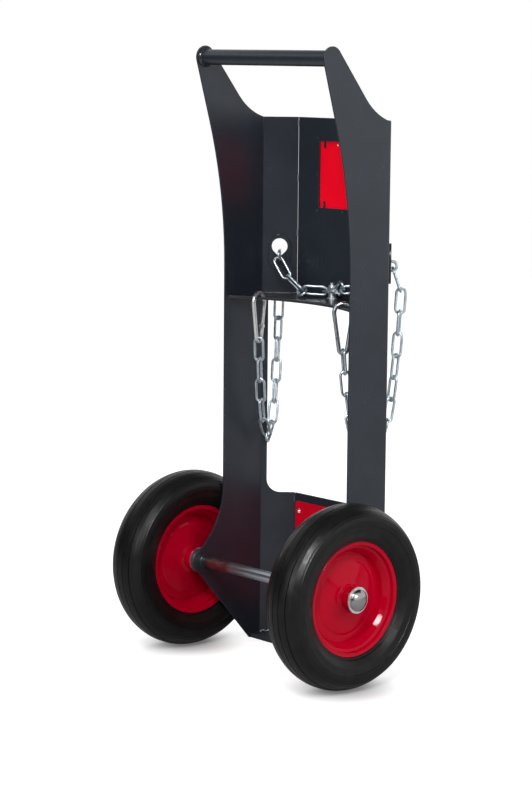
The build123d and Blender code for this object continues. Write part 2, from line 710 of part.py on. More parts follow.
class Chain:
    """Links threaded one through the next, each pulling on the round end of the one before."""

    def __init__(self, end_centre, normal):
        """Start from the round end of a link: its centre and the normal of the link's plane."""
        self.end = end_centre
        self.normal = normal
        self.places = []

    def pull(self, axis):
        """Direction in which a link along an axis pulls on the round end."""
        return (axis - self.normal * axis.dot(self.normal)).normalized()

    def square(self, axis):
        """Normal of a next link whose plane stands square to the last one's."""
        return self.pull(axis).cross(self.normal).normalized()

    def add(self, axis, normal):
        """Hang the next link along an axis; its plane has the given normal."""
        start = self.end + self.pull(axis) * LINK_STEP
        middle = start + axis * (LINK_STRAIGHT / 2)
        self.places.append(Plane(origin=middle, x_dir=axis, z_dir=normal))
        self.end = start + axis * LINK_STRAIGHT
        self.normal = normal

    def tip(self):
        """Middle of the wire at the far end of the last link."""
        return self.end + self.places[-1].x_dir * LINK_END_R


def roll_list(first, last, count, twisted):
    """Roll of every link: an even twist over the first joints, then quarter turns to the last."""
    rolls = [last + 90 * (number - count) for number in range(1, count + 1)]
    goal = rolls[twisted]
    goal += 180 * round((first + 90 * twisted - goal) / 180)
    for number in range(twisted + 1):
        rolls[number] = first + (goal - first) * number / twisted
    return rolls


def direction(heading, climb):
    """Unit vector at a heading in the floor plane and a climb, both in radians."""
    return Vector(cos(heading) * cos(climb), sin(heading) * cos(climb), sin(climb))


def close_on(run, target, guess, reach):
    """Chain from run(values) with the three values that bring its tip to a target."""

    def miss(values):
        return np.array(tuple(run(values).tip() - target))

    values = np.array(guess)
    small = np.eye(len(guess)) * CLOSING_STEP
    for _ in range(CLOSING_ROUNDS):
        error = miss(values)
        if np.linalg.norm(error) < CLOSING_ERROR:
            break
        slopes = np.column_stack([(miss(values + step) - error) / CLOSING_STEP for step in small])
        change = np.linalg.solve(slopes, -error)
        values = values + np.clip(change, -reach, reach)
    return run(values)


def hanging_links(end_centre, normal, target, twisted):
    """Links that hang freely in one upright plane, from a round end to a target point."""

    def run(values):
        sag, low, heading = values
        across = direction(heading, 0).cross(Vector(0, 0, 1))
        chain = Chain(end_centre, normal)
        rolls = []
        for number in range(1, TAIL_LINKS + 1):
            axis = direction(heading, atan2(sag * (number - low), 1))
            upright = axis.cross(across)
            if not rolls:
                square = chain.square(axis)
                first = degrees(atan2(square.dot(upright), square.dot(across)))
                rolls = roll_list(first, 90, TAIL_LINKS, twisted)
            roll = radians(rolls[number - 1])
            chain.add(axis, across * cos(roll) + upright * sin(roll))
        return chain

    gap = target - end_centre
    guess = (TAIL_SAG_GUESS, TAIL_LINKS * TAIL_LOW_GUESS, atan2(gap.Y, gap.X))
    return close_on(run, target, guess, TAIL_REACH)


def lying_links(end_centre, normal, target, side):
    """Inner links: they drop from the keyhole and then lie over the shelf in a slack zigzag.

    Their number is even, so that the last one stands upright in the strip's hole.
    """
    gap = target - end_centre
    count = 2 * ceil(INNER_SLACK * gap.length / LINK_PITCH / 2)
    turns, dips, twists = (LEFT_INNER_TURNS, LEFT_INNER_DIPS, LEFT_INNER_TWISTS)
    if side > 0:
        turns, dips, twists = (RIGHT_INNER_TURNS, RIGHT_INNER_DIPS, RIGHT_INNER_TWISTS)

    def run(values):
        dip, zigzag, heading = values
        chain = Chain(end_centre, normal)
        for number in range(count):
            place = min(number, len(turns) - 1)
            axis = direction(heading - side * turns[place] * zigzag, -dip * dips[place])
            square = chain.square(axis)
            twist = -side * radians(twists[place])
            chain.add(axis, square * cos(twist) + axis.cross(square) * sin(twist))
        return chain

    guess = (INNER_DIP_GUESS, INNER_ZIGZAG_GUESS, atan2(gap.Y, gap.X))
    return close_on(run, target, guess, INNER_REACH)


def slot_link(side):
    """Place of the link that sits in the keyhole's slot, across the flange."""
    lean = sin(radians(FIRST_LINK_LEAN))
    front = SHEET_T / 2 + DOUBLER_T + CHAIN_WIRE / 2 + SEAT_GAP
    reach = LINK_STRAIGHT / 2 + (LINK_STEP - LINK_END_R) * lean
    z = KEYHOLE_Z - SLOT_DROP + SEAT_GAP + LINK_WIDTH / 2
    return flange_point(side, KEYHOLE_ALONG, front - reach, z)


def chain_run(side):
    """Inner links and hanging tail of one chain, as lists of places."""
    forward = Vector(side * FLANGE_SIN, FLANGE_COS, 0)
    along = Vector(-side * FLANGE_COS, FLANGE_SIN, 0)
    middle = slot_link(side)
    slot_place = Plane(origin=middle, x_dir=forward, z_dir=along)

    strip_z = SHELF_TOP_Z + ANCHOR_WASHER_T + BUSH_H + STRIP_T / 2
    hole = Vector(side * STRIP_HOLE_X, ANCHOR_Y, strip_z)
    rear_end = middle - forward * (LINK_STRAIGHT / 2)
    inner = lying_links(rear_end, along, hole, side)

    lean = radians(FIRST_LINK_LEAN)
    first_axis = forward * sin(lean) - Vector(0, 0, cos(lean))
    tail = Chain(middle + forward * (LINK_STRAIGHT / 2), along)
    tail.add(first_axis, first_axis.cross(along))
    strip, hook_forward = hook_frame(side)
    eye = Vector(strip.X, strip.Y, hook_low_z() + HOOK_WIRE / 2 + CHAIN_WIRE / 2 + HOOK_GAP - HOOK_LOW_R)
    twisted = RIGHT_TWIST_LINKS if side > 0 else LEFT_TWIST_LINKS
    rest = hanging_links(tail.end, tail.normal, eye, twisted)
    return [slot_place] + inner.places, tail.places + rest.places


def links(places):
    """Solid links at their places."""
    shape = link_shape()
    return [place.location * shape for place in places]


# Anchor on the shelf

def hexagon(across_flats, height):
    """Hexagon prism that stands on z = 0."""
    return extrude(RegularPolygon(across_flats / 2, 6, major_radius=False), height)


def disc_at(radius, hole_r, low, height):
    """Round washer or bush about the anchor bolt."""
    shape = Pos(0, 0, low) * extrude(Circle(radius) - Circle(hole_r), height)
    return Pos(0, ANCHOR_Y, 0) * shape


def anchor_pieces():
    """Bolt, washer, bush, strip and lock nut of the chain anchor."""
    hole_r = BOLT_D / 2 + BOLT_GAP
    bush_z = SHELF_TOP_Z + ANCHOR_WASHER_T
    strip_z = bush_z + BUSH_H
    nut_z = strip_z + STRIP_T
    end_z = nut_z + LOCK_NUT_H + BOLT_END
    shank = Pos(0, 0, SHELF_LOW_Z) * extrude(Circle(BOLT_D / 2), end_z - SHELF_LOW_Z)
    shank = chamfer(shank.edges().sort_by(Axis.Z)[-1], BOLT_CHAMFER)
    bolt = shank + Pos(0, 0, SHELF_LOW_Z - BOLT_HEAD_H) * hexagon(BOLT_AF, BOLT_HEAD_H)
    outline = SlotOverall(STRIP_LENGTH, STRIP_W) - Circle(hole_r)
    for x in (-STRIP_HOLE_X, STRIP_HOLE_X):
        outline -= Pos(x, 0) * Circle(STRIP_HOLE_R)
    strip = Pos(0, ANCHOR_Y, strip_z) * extrude(outline, STRIP_T)
    lower = hexagon(BOLT_AF, LOCK_NUT_HEX_H)
    collar = Pos(0, 0, LOCK_NUT_HEX_H) * extrude(Circle(LOCK_COLLAR_R), LOCK_NUT_H - LOCK_NUT_HEX_H)
    nut = lower + collar - Cylinder(BOLT_D / 2 + PRESS_GAP, 4 * LOCK_NUT_H)
    return {
        "anchor_bolt": Pos(0, ANCHOR_Y, 0) * bolt,
        "anchor_washer": disc_at(ANCHOR_WASHER_R, hole_r, SHELF_TOP_Z, ANCHOR_WASHER_T),
        "anchor_bush": disc_at(BUSH_R, hole_r, bush_z, BUSH_H),
        "anchor_strip": strip,
        "anchor_nut": Pos(0, ANCHOR_Y, nut_z) * nut,
    }


# Snap hook, drawn in its own plane: x towards the gate, y up from the centre of the lower bend

def hook_rise():
    """Distance between the centres of the hook's two bends."""
    return HOOK_LENGTH - HOOK_TOP_R - HOOK_LOW_R - HOOK_WIRE


def hook_low_z():
    """Height of the centre of the lower bend when the hook hangs on the shelf."""
    inner = HOOK_TOP_R - HOOK_WIRE / 2
    return SHELF_TOP_Z + HOOK_GAP - sqrt(inner ** 2 - (HOOK_STRIP / 2) ** 2) - hook_rise()


def gate_leg():
    """Start and direction of the straight leg on the gate's side, and its length."""
    spread = asin((HOOK_TOP_R - HOOK_LOW_R) / hook_rise())
    outward = Vector(cos(spread), -sin(spread))
    start = outward * HOOK_LOW_R
    end = Vector(0, hook_rise()) + outward * HOOK_TOP_R
    return start, (end - start).normalized(), (end - start).length, degrees(spread)


def leg_plane(distance):
    """Plane across the gate's leg at a distance up from the lower bend; its z runs up the leg."""
    start, up, _, _ = gate_leg()
    point = start + up * distance
    return Plane(origin=(point.X, point.Y, 0), x_dir=(0, 0, 1), z_dir=(up.X, up.Y, 0))


def hook_body():
    """Bent wire of the hook with a flat tongue at the nose and another at the gate's pivot."""
    start, up, length, spread = gate_leg()
    top = (0, hook_rise())
    far_start = Vector(-start.X, start.Y)
    nose = start + up * (length - NOSE_LENGTH)
    nose_top = start + up * length
    stub = start + up * STUB_LENGTH
    path = Wire([
        Line(nose, nose_top),
        CenterArc(top, HOOK_TOP_R, -spread, 180 + 2 * spread),
        Line((-nose_top.X, nose_top.Y), far_start),
        CenterArc((0, 0), HOOK_LOW_R, 180 + spread, 180 - 2 * spread),
        Line(start, stub),
    ])
    wire = sweep(leg_plane(length - NOSE_LENGTH) * Circle(HOOK_WIRE / 2), path=path)
    nose_tongue = Pos(0, 0, -TONGUE_LENGTH / 2) * Box(TONGUE_T, TONGUE_W, TONGUE_LENGTH)
    wire += leg_plane(length - NOSE_LENGTH).location * nose_tongue
    pivot_tongue = Pos(0, 0, GATE_R / 2) * Box(TONGUE_T, 2 * KNUCKLE_R, GATE_R)
    knuckle = Pos(0, 0, GATE_R) * Rot(0, 90, 0) * Cylinder(KNUCKLE_R, TONGUE_T)
    pin_hole = Pos(0, 0, GATE_R) * Rot(0, 90, 0) * Cylinder(GATE_RIVET_R + PRESS_GAP, HOOK_WIRE)
    stub_place = leg_plane(STUB_LENGTH).location
    wire += stub_place * pivot_tongue
    wire += stub_place * knuckle
    return wire - stub_place * pin_hole


def hook_gate():
    """Straight gate with a fork round the pivot tongue and a slot for the nose tongue."""
    _, _, length, _ = gate_leg()
    pivot_up = GATE_R
    gate_length = length - NOSE_LENGTH - STUB_LENGTH - pivot_up - GATE_GAP
    gate = Pos(0, 0, gate_length / 2) * Cylinder(GATE_R, gate_length)
    gate += Rot(0, 90, 0) * Cylinder(GATE_R, 2 * GATE_R) & Box(2 * GATE_R, 2 * GATE_R, 2 * GATE_R)
    slot = TONGUE_T + 2 * TONGUE_GAP
    fork_depth = GATE_R + TONGUE_GAP
    gate -= Pos(0, 0, (fork_depth - 2 * GATE_R) / 2) * Box(slot, 4 * GATE_R, fork_depth + 2 * GATE_R)
    nose_depth = TONGUE_LENGTH - GATE_GAP + TONGUE_GAP
    gate -= Pos(0, 0, gate_length - nose_depth / 2) * Box(slot, 4 * GATE_R, nose_depth)
    gate -= Rot(0, 90, 0) * Cylinder(GATE_RIVET_R + RIVET_RUN_GAP, 4 * GATE_R)
    spring_low = fork_depth + GATE_SPRING_GAP
    bore_r = GATE_SPRING_R + GATE_SPRING_GAP
    bore_length = GATE_SPRING_LENGTH + 2 * GATE_SPRING_GAP
    gate -= Pos(0, 0, fork_depth + GATE_SPRING_LENGTH / 2) * Cylinder(bore_r, bore_length)
    spring = Pos(0, 0, spring_low + GATE_SPRING_LENGTH / 2) * Cylinder(GATE_SPRING_R, GATE_SPRING_LENGTH)
    rivet = Rot(0, 90, 0) * Cylinder(GATE_RIVET_R, 2 * (GATE_R + GATE_RIVET_PROUD))
    place = leg_plane(STUB_LENGTH + pivot_up).location
    return place * gate, place * spring, place * rivet


def hook_place(side):
    """Where a snap hook hangs on the shelf's strip: the left gate faces forward, the right one back."""
    strip, forward = hook_frame(side)
    facing = forward * -side
    across = facing.cross(Vector(0, 0, 1))
    return Plane(origin=(strip.X, strip.Y, hook_low_z()), x_dir=facing, z_dir=across)


# Everything

def main():
    """Build every piece and write it to its own file."""
    os.makedirs("parts", exist_ok=True)

    sheet = side_sheet()
    panel = upper_panel()
    save("right_side_sheet", sheet)
    save("left_side_sheet", mirrored(sheet))
    save("upper_panel", panel)
    foot = lower_panel()
    beads = stitch_welds(panel, sheet, SHELF_TOP_Z, TOP_Z, UPPER_WELD_BEADS)
    beads += stitch_welds(foot, sheet, BASE_T, LOWER_TOP_Z, LOWER_WELD_BEADS)
    save("panel_stitch_welds", *beads, *[mirrored(bead) for bead in beads])
    save("upper_red_plate", upper_red_plate())
    save("upper_plate_rivets", *[upper_plate_rivet(x, z) for x, z in rivet_places()])
    save("lower_panel", foot)
    save("lower_red_plate", lower_red_plate())
    save("lower_plate_screws", *[lower_plate_screw(x, z) for x, z in screw_places()])
    save("lower_plate_nuts", *[lower_plate_nut(x, z) for x, z in screw_places()])
    save("shelf", shelf())
    save("base_plate", base_plate())
    doubler = keyhole_doubler()
    save("right_keyhole_doubler", doubler)
    save("left_keyhole_doubler", mirrored(doubler))

    save("handle_tube", handle_tube())
    handle_weld = Pos(0, HANDLE_Y, HANDLE_Z) * weld_ring(TUBE_R, HANDLE_WELD_LEG)
    save("handle_welds", handle_weld, mirrored(handle_weld))

    axle_end = CAP_X + AXLE_END
    save("axle", at_axle(ring(-axle_end, axle_end, 0, AXLE_R), 0))
    axle_weld = at_axle(weld_ring(AXLE_R + AXLE_HOLE_GAP, AXLE_WELD_LEG), 0)
    save("axle_welds", axle_weld, mirrored(axle_weld))
    bore = AXLE_R + WASHER_GAP
    spacer_end = BODY_HALF_W + SPACER_LENGTH
    spacer = at_axle(ring(BODY_HALF_W, spacer_end, bore, SPACER_R), 0)
    save("axle_spacers", spacer, mirrored(spacer))
    inner_washer = at_axle(ring(spacer_end, spacer_end + INNER_WASHER_T, bore, WASHER_R), 0)
    save("inner_washers", inner_washer, mirrored(inner_washer))
    outer_washer = at_axle(ring(OUTER_WASHER_X, CAP_X, bore, WASHER_R), 0)
    save("outer_washers", outer_washer, mirrored(outer_washer))
    cap = hub_cap()
    save("hub_caps", cap, mirrored(cap))

    wheel = {
        "tyre": [tyre()],
        "rim": [rim()],
        "wheel_disc": [wheel_disc()],
        "hub_tube": [hub_tube()],
        "roller_bearings": [bearing(-1), bearing(1)],
    }
    for name, pieces in wheel.items():
        right = [at_axle(piece, WHEEL_X) for piece in pieces]
        save(f"right_{name}", *right)
        save(f"left_{name}", *[mirrored(piece) for piece in right])

    for name, piece in anchor_pieces().items():
        save(name, piece)

    body = hook_body()
    gate, spring, rivet = hook_gate()
    for side, word in ((-1, "left"), (1, "right")):
        inner, tail = chain_run(side)
        save(f"{word}_inner_chain", *links(inner))
        save(f"{word}_chain_tail", *links(tail))
        place = hook_place(side).location
        save(f"{word}_hook_body", place * body)
        save(f"{word}_hook_gate", place * gate)
        save(f"{word}_gate_spring", place * spring)
        save(f"{word}_gate_rivet", place * rivet)


main()
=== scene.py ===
"""Two-wheeled load trolley with retaining chains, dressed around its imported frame.

Lengths are in metres. X is to the user's right, Y runs forward to the load and Z is up.
"""

import functools
import json
import logging
import math
from dataclasses import dataclass, field
from enum import Enum
from typing import Callable, Sequence

import bpy
from mathutils import Matrix, Vector

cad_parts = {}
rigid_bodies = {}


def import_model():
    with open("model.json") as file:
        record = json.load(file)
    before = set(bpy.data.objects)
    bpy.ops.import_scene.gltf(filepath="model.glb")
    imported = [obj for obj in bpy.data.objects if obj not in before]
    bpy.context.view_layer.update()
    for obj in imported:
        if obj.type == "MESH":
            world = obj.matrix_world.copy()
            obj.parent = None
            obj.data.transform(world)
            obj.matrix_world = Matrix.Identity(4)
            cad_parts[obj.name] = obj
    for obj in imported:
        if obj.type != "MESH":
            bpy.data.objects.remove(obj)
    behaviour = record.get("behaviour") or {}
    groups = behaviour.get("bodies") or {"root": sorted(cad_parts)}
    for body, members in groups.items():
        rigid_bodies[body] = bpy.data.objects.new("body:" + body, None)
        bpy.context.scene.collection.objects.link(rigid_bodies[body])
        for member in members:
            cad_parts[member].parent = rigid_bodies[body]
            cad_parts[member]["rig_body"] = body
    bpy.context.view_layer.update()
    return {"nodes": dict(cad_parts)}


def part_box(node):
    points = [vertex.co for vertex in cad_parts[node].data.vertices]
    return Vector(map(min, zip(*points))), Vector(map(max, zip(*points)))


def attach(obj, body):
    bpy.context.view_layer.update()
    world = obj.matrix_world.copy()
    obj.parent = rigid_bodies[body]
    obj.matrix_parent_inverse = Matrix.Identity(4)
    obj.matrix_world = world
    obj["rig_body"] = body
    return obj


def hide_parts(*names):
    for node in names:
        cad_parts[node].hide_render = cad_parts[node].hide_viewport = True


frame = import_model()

LOG = logging.getLogger("trolley")
MM = 0.001
Point = tuple[float, float]
Corner = tuple[float, float, float]
Colour = tuple[float, float, float]
Piece = bpy.types.Object
Socket = bpy.types.NodeSocket
Tree = bpy.types.NodeTree

# Distance within which two corners of a mesh are one
MERGE_GAP = 0.002 * MM
# Largest angles, in degrees, that are shaded smooth on turned pieces, on beads and wire, and on sheets
TURNED_ANGLE = 35.0
BEAD_ANGLE = 60.0
SHEET_ANGLE = 28.0
# Radians that the rings of a wave texture of scale 1 run through in a metre
WAVE_RATE = 20.0
# Greys of a noise pattern that count as its dark and light ends
NOISE_GREYS: Point = (0.35, 0.65)
# Share of a side that the arc at one of its ends may take
ARC_SHARE = 0.49


class Side(Enum):
    """The two sides of the trolley, as the sign of X."""

    LEFT = -1
    RIGHT = 1

    @property
    def word(self) -> str:
        """Name of the side, as used in the node names."""
        return self.name.lower()


class Grain(Enum):
    """Widths of the patterns in the finishes, in metres."""

    PEEL = 1.6 * MM
    FINE = 3.0 * MM
    MOTTLE = 9.0 * MM
    HAZE = 28.0 * MM
    CLOUD = 70.0 * MM


# Finishes


def math_node(tree: Tree, operation: str, *sources: Socket) -> Socket:
    """Result of one operation on sockets.

    Args:
        tree: Node tree to add to.
        operation: Blender's name of the operation.
        sources: One or two sockets, in order.

    Returns:
        The value socket.
    """
    node = tree.nodes.new("ShaderNodeMath")
    node.operation = operation
    for number, source in enumerate(sources):
        tree.links.new(source, node.inputs[number])
    return node.outputs["Value"]


def map_range(tree: Tree, source: Socket, span: Point, values: Point, kind: str = "LINEAR") -> Socket:
    """Socket stretched from one span of values to another.

    Args:
        tree: Node tree to add to.
        source: Socket to stretch.
        span: Its values at the two ends.
        values: What they become.
        kind: Blender's name of the way between the ends.

    Returns:
        The value socket.
    """
    node = tree.nodes.new("ShaderNodeMapRange")
    node.interpolation_type = kind
    for name, value in zip(("From Min", "From Max", "To Min", "To Max"), (*span, *values)):
        node.inputs[name].default_value = value
    tree.links.new(source, node.inputs["Value"])
    return node.outputs["Result"]


class Shader:
    """Node tree of one finish, read from Object coordinates."""

    def __init__(self, name: str) -> None:
        """Start a material with one surface shader.

        Args:
            name: Name of the material.
        """
        self.material = bpy.data.materials.new(name)
        self.material.use_nodes = True
        self.tree = self.material.node_tree
        self.nodes = self.tree.nodes
        self.links = self.tree.links
        self.surface = self.nodes["Principled BSDF"]
        self.place = self.nodes.new("ShaderNodeTexCoord").outputs["Object"]
        self.normal: Socket | None = None

    def constant(self, **values: float | Colour) -> None:
        """Set sockets that are the same all over.

        Args:
            values: Socket names, with an underscore for each space, and their values.
        """
        for name, value in values.items():
            socket = self.surface.inputs[name.replace("_", " ")]
            socket.default_value = (*value, 1.0) if isinstance(value, tuple) else value

    def mapped(self, centre: Corner, stretch: Corner) -> Socket:
        """Object coordinates stretched, then moved.

        Args:
            centre: Point that becomes the pattern's centre.
            stretch: Factor along each axis.

        Returns:
            The vector socket.
        """
        node = self.nodes.new("ShaderNodeMapping")
        node.inputs["Location"].default_value = -Vector(centre)
        node.inputs["Scale"].default_value = stretch
        self.links.new(self.place, node.inputs["Vector"])
        return node.outputs["Vector"]

    def noise(self, grain: Grain, detail: float = 2.0, stretch: Corner = (1, 1, 1)) -> Socket:
        """Grey cloud pattern.

        Args:
            grain: Width of one cloud.
            detail: Octaves of finer pattern.
            stretch: Factor along each axis, below 1 for streaks along it.

        Returns:
            The grey socket.
        """
        node = self.nodes.new("ShaderNodeTexNoise")
        node.inputs["Scale"].default_value = 1 / grain.value
        node.inputs["Detail"].default_value = detail
        self.links.new(self.mapped((0, 0, 0), stretch), node.inputs["Vector"])
        return node.outputs["Fac"]

    def rings(self, centre: Corner, spacing: float, wobble: float) -> Socket:
        """Rings about a line along X.

        Args:
            centre: Point on the line.
            spacing: Distance from ring to ring.
            wobble: How far the rings waver.

        Returns:
            The grey socket.
        """
        node = self.nodes.new("ShaderNodeTexWave")
        node.wave_type = "RINGS"
        node.rings_direction = "X"
        node.inputs["Scale"].default_value = math.tau / (WAVE_RATE * spacing)
        node.inputs["Distortion"].default_value = wobble
        self.links.new(self.mapped(centre, (1, 1, 1)), node.inputs["Vector"])
        return node.outputs["Fac"]

    def distance(self, point: Corner) -> Socket:
        """Pattern of the distance from a point.

        Args:
            point: Point to measure from.

        Returns:
            The distance socket.
        """
        node = self.nodes.new("ShaderNodeVectorMath")
        node.operation = "DISTANCE"
        node.inputs[1].default_value = point
        self.links.new(self.place, node.inputs[0])
        return node.outputs["Value"]

    def spread(self, grey: Socket, values: Point = (0.0, 1.0), span: Point = NOISE_GREYS) -> Socket:
        """Pattern whose greys in a span are stretched over a range of values."""
        return map_range(self.tree, grey, span, values)

    def tint(self, grey: Socket, dark: Colour | Socket, light: Colour) -> Socket:
        """Colour pattern between two colours.

        Args:
            grey: Pattern from 0, dark, to 1, light.
            dark: Colour at 0, or a colour pattern.
            light: Colour at 1.

        Returns:
            The colour socket.
        """
        node = self.nodes.new("ShaderNodeMix")
        node.data_type = "RGBA"
        ends = {s.identifier: s for s in node.inputs}
        if isinstance(dark, tuple):
            ends["A_Color"].default_value = (*dark, 1)
        else:
            self.links.new(dark, ends["A_Color"])
        ends["B_Color"].default_value = (*light, 1)
        self.links.new(grey, ends["Factor_Float"])
        return next(s for s in node.outputs if s.identifier == "Result_Color")

    def clouded(self, colour: Colour, shades: Point, grain: Grain, detail: float) -> Socket:
        """Colour that shifts in soft clouds between two shades of itself, given as factors."""
        clouds = self.spread(self.noise(grain, detail))
        return self.tint(clouds, shaded(colour, shades[0]), shaded(colour, shades[1]))

    def drive(self, name: str, source: Socket) -> None:
        """Let a pattern set a socket of the surface."""
        self.links.new(source, self.surface.inputs[name])

    def waver(self, roughness: float, sway: Point, detail: float, stretch: Corner = (1, 1, 1)) -> None:
        """Let the roughness waver in a mottle, by its least and greatest change."""
        mottle = self.noise(Grain.MOTTLE, detail, stretch)
        self.drive("Roughness", self.spread(mottle, (roughness + sway[0], roughness + sway[1])))

    def bump(self, grey: Socket, depth: float, strength: float) -> None:
        """Raise the surface by a pattern, on top of earlier bumps.

        Args:
            grey: Pattern from 0, low, to 1, high.
            depth: Height of the pattern in metres.
            strength: Share of the bump that shows.
        """
        node = self.nodes.new("ShaderNodeBump")
        node.inputs["Distance"].default_value = depth
        node.inputs["Strength"].default_value = strength
        self.links.new(grey, node.inputs["Height"])
        if self.normal:
            self.links.new(self.normal, node.inputs["Normal"])
        self.normal = node.outputs["Normal"]
        self.links.new(self.normal, self.surface.inputs["Normal"])


def shaded(colour: Colour, factor: float) -> Colour:
    """A colour made lighter or darker by a factor."""
    return tuple(min(1.0, part * factor) for part in colour)


@dataclass(frozen=True)
class Finish:
    """A surface finish and the record's material slot that it belongs to."""

    name: str
    slot: str
    colour: Colour
    roughness: float

    def dress(self, shader: Shader) -> None:
        """Lay the finish; each kind of finish has its own way."""
        raise NotImplementedError

    @functools.cache
    def material(self) -> bpy.types.Material:
        """Make the finish's material, once.

        Returns:
            The material.
        """
        shader = Shader(self.name)
        self.dress(shader)
        return shader.material


@dataclass(frozen=True)
class PowderCoat(Finish):
    """Satin powder coat with a fine peel, faint clouds and a few light specks of dust."""

    specular: float = 0.5
    dust: float = 4.0
    shades: Point = (0.92, 1.08)
    speck_greys: Point = (0.76, 0.84)
    patch_greys: Point = (0.5, 0.7)
    sway: Point = (-0.03, 0.04)
    peel: float = 0.04 * MM
    peel_share: float = 0.25

    def dress(self, shader: Shader) -> None:
        """Lay a clouded dark colour, specks, a wavering gloss and a fine peel.

        Args:
            shader: Its nodes.
        """
        shader.constant(Specular_IOR_Level=self.specular)
        coat = shader.clouded(self.colour, self.shades, Grain.CLOUD, detail=4.0)
        specks = shader.spread(shader.noise(Grain.FINE, detail=0.0), span=self.speck_greys)
        patches = shader.spread(shader.noise(Grain.CLOUD), span=self.patch_greys)
        dusty = math_node(shader.tree, "MULTIPLY", specks, patches)
        shader.drive("Base Color", shader.tint(dusty, coat, shaded(self.colour, self.dust)))
        shader.waver(self.roughness, self.sway, detail=3.0)
        shader.bump(shader.noise(Grain.PEEL, detail=1.0), self.peel, self.peel_share)


@dataclass(frozen=True)
class GlossPaint(Finish):
    """Wet-looking paint under a clear skin with a soft long peel."""

    coat: float = 0.5
    coat_roughness: float = 0.07
    shades: Point = (0.95, 1.04)
    sway: Point = (-0.02, 0.04)
    peel: float = 0.05 * MM
    peel_share: float = 0.2

    def dress(self, shader: Shader) -> None:
        """Lay a deep colour, a clear coat and a long low peel.

        Args:
            shader: Its nodes.
        """
        shader.constant(Coat_Weight=self.coat, Coat_Roughness=self.coat_roughness, Specular_IOR_Level=0.0)
        shader.drive("Base Color", shader.clouded(self.colour, self.shades, Grain.CLOUD, detail=3.0))
        shader.waver(self.roughness, self.sway, detail=2.0)
        shader.bump(shader.noise(Grain.HAZE, detail=1.0), self.peel, self.peel_share)


@dataclass(frozen=True)
class Rubber(Finish):
    """Black rubber with mould rings about one wheel's axle."""

    centre: Corner = (0.0, 0.0, 0.0)
    specular: float = 0.2
    shades: Point = (0.8, 1.3)
    sway: Point = (-0.05, 0.08)
    grain: float = 0.10 * MM
    grain_share: float = 0.35
    ring_gap: float = 2.4 * MM
    ring_wobble: float = 0.6
    ring_height: float = 0.06 * MM
    ring_share: float = 0.2

    def dress(self, shader: Shader) -> None:
        """Lay a dusty black, a wavering gloss, fine grain and faint mould rings.

        Args:
            shader: Its nodes.
        """
        shader.constant(Specular_IOR_Level=self.specular)
        shader.drive("Base Color", shader.clouded(self.colour, self.shades, Grain.HAZE, detail=6.0))
        shader.waver(self.roughness, self.sway, detail=5.0)
        shader.bump(shader.noise(Grain.FINE, detail=4.0), self.grain, self.grain_share)
        rings = shader.rings(self.centre, self.ring_gap, self.ring_wobble)
        shader.bump(rings, self.ring_height, self.ring_share)


@dataclass(frozen=True)
class Plating(Finish):
    """Bright metal plating that shifts softly between two tones."""

    cool: Colour = (0.50, 0.55, 0.60)
    streak: Corner = (1.0, 1.0, 1.0)
    grain: float = 0.02 * MM
    grain_share: float = 0.12
    sway: Point = (-0.04, 0.06)

    def dress(self, shader: Shader) -> None:
        """Lay a metal with cool patches, a wavering polish and a fine grain.

        Args:
            shader: Its nodes.
        """
        shader.constant(Metallic=1.0)
        patches = shader.spread(shader.noise(Grain.MOTTLE, stretch=self.streak))
        shader.drive("Base Color", shader.tint(patches, self.cool, self.colour))
        shader.waver(self.roughness, self.sway, detail=3.0, stretch=self.streak)
        grain = shader.noise(Grain.PEEL, detail=1.0, stretch=self.streak)
        shader.bump(grain, self.grain, self.grain_share)


@dataclass(frozen=True)
class AxleSteel(Plating):
    """Drawn bar with overspray of body coat at its ends and a painted red reflection next to it."""

    # Painted reflection: a blotched reddish tint towards the bar's ends stands in for the red paint that
    # the bar reflects
    stain: Colour = (0.30, 0.17, 0.17)
    stain_span: Point = (98.0 * MM, 118.0 * MM)
    stain_streak: Corner = (0.35, 1.0, 1.0)
    stain_least: float = 0.45
    spray: Colour = (0.20, 0.23, 0.26)
    spray_span: Point = (168.0 * MM, 180.0 * MM)

    def dress(self, shader: Shader) -> None:
        """Lay the drawn metal, then the painted reflection and the spray by distance from the middle.

        Args:
            shader: Its nodes.
        """
        super().dress(shader)
        drawn = shader.surface.inputs["Base Color"].links[0].from_socket
        parts = shader.nodes.new("ShaderNodeSeparateXYZ")
        shader.links.new(shader.place, parts.inputs["Vector"])
        outward = math_node(shader.tree, "ABSOLUTE", parts.outputs["X"])
        # Painted reflection of red paint, blotched and streaked along the bar
        mottle = shader.noise(Grain.MOTTLE, detail=3.0, stretch=self.stain_streak)
        blotches = shader.spread(mottle, (self.stain_least, 1.0))
        reflection_share = math_node(shader.tree, "MULTIPLY", shader.spread(outward, span=self.stain_span), blotches)
        reflected = shader.tint(reflection_share, drawn, self.stain)
        sprayed = shader.spread(outward, span=self.spray_span)
        shader.drive("Base Color", shader.tint(sprayed, reflected, self.spray))


ANTHRACITE = PowderCoat("anthracite_coat", "anthracite", (0.0175, 0.0225, 0.032), 0.33)
ANTHRACITE_EDGE = PowderCoat("anthracite_edge", "anthracite", (0.034, 0.040, 0.050), 0.40)
ANTHRACITE_WELD = PowderCoat("anthracite_weld", "anthracite", (0.024, 0.027, 0.031), 0.20)
SHELF_COAT = PowderCoat("shelf_coat", "anthracite", (0.024, 0.026, 0.030), 0.20, dust=8.0)
# The shelf's broken edges are glossier than its coat, and their lighter colour is a painted highlight along
# them
SHELF_HIGHLIGHT_EDGE = PowderCoat("shelf_edge", "anthracite", (0.05, 0.052, 0.056), 0.16)
RED = GlossPaint("red_gloss", "red_paint", (0.50, 0.0003, 0.0185), 0.26, coat=0.27)
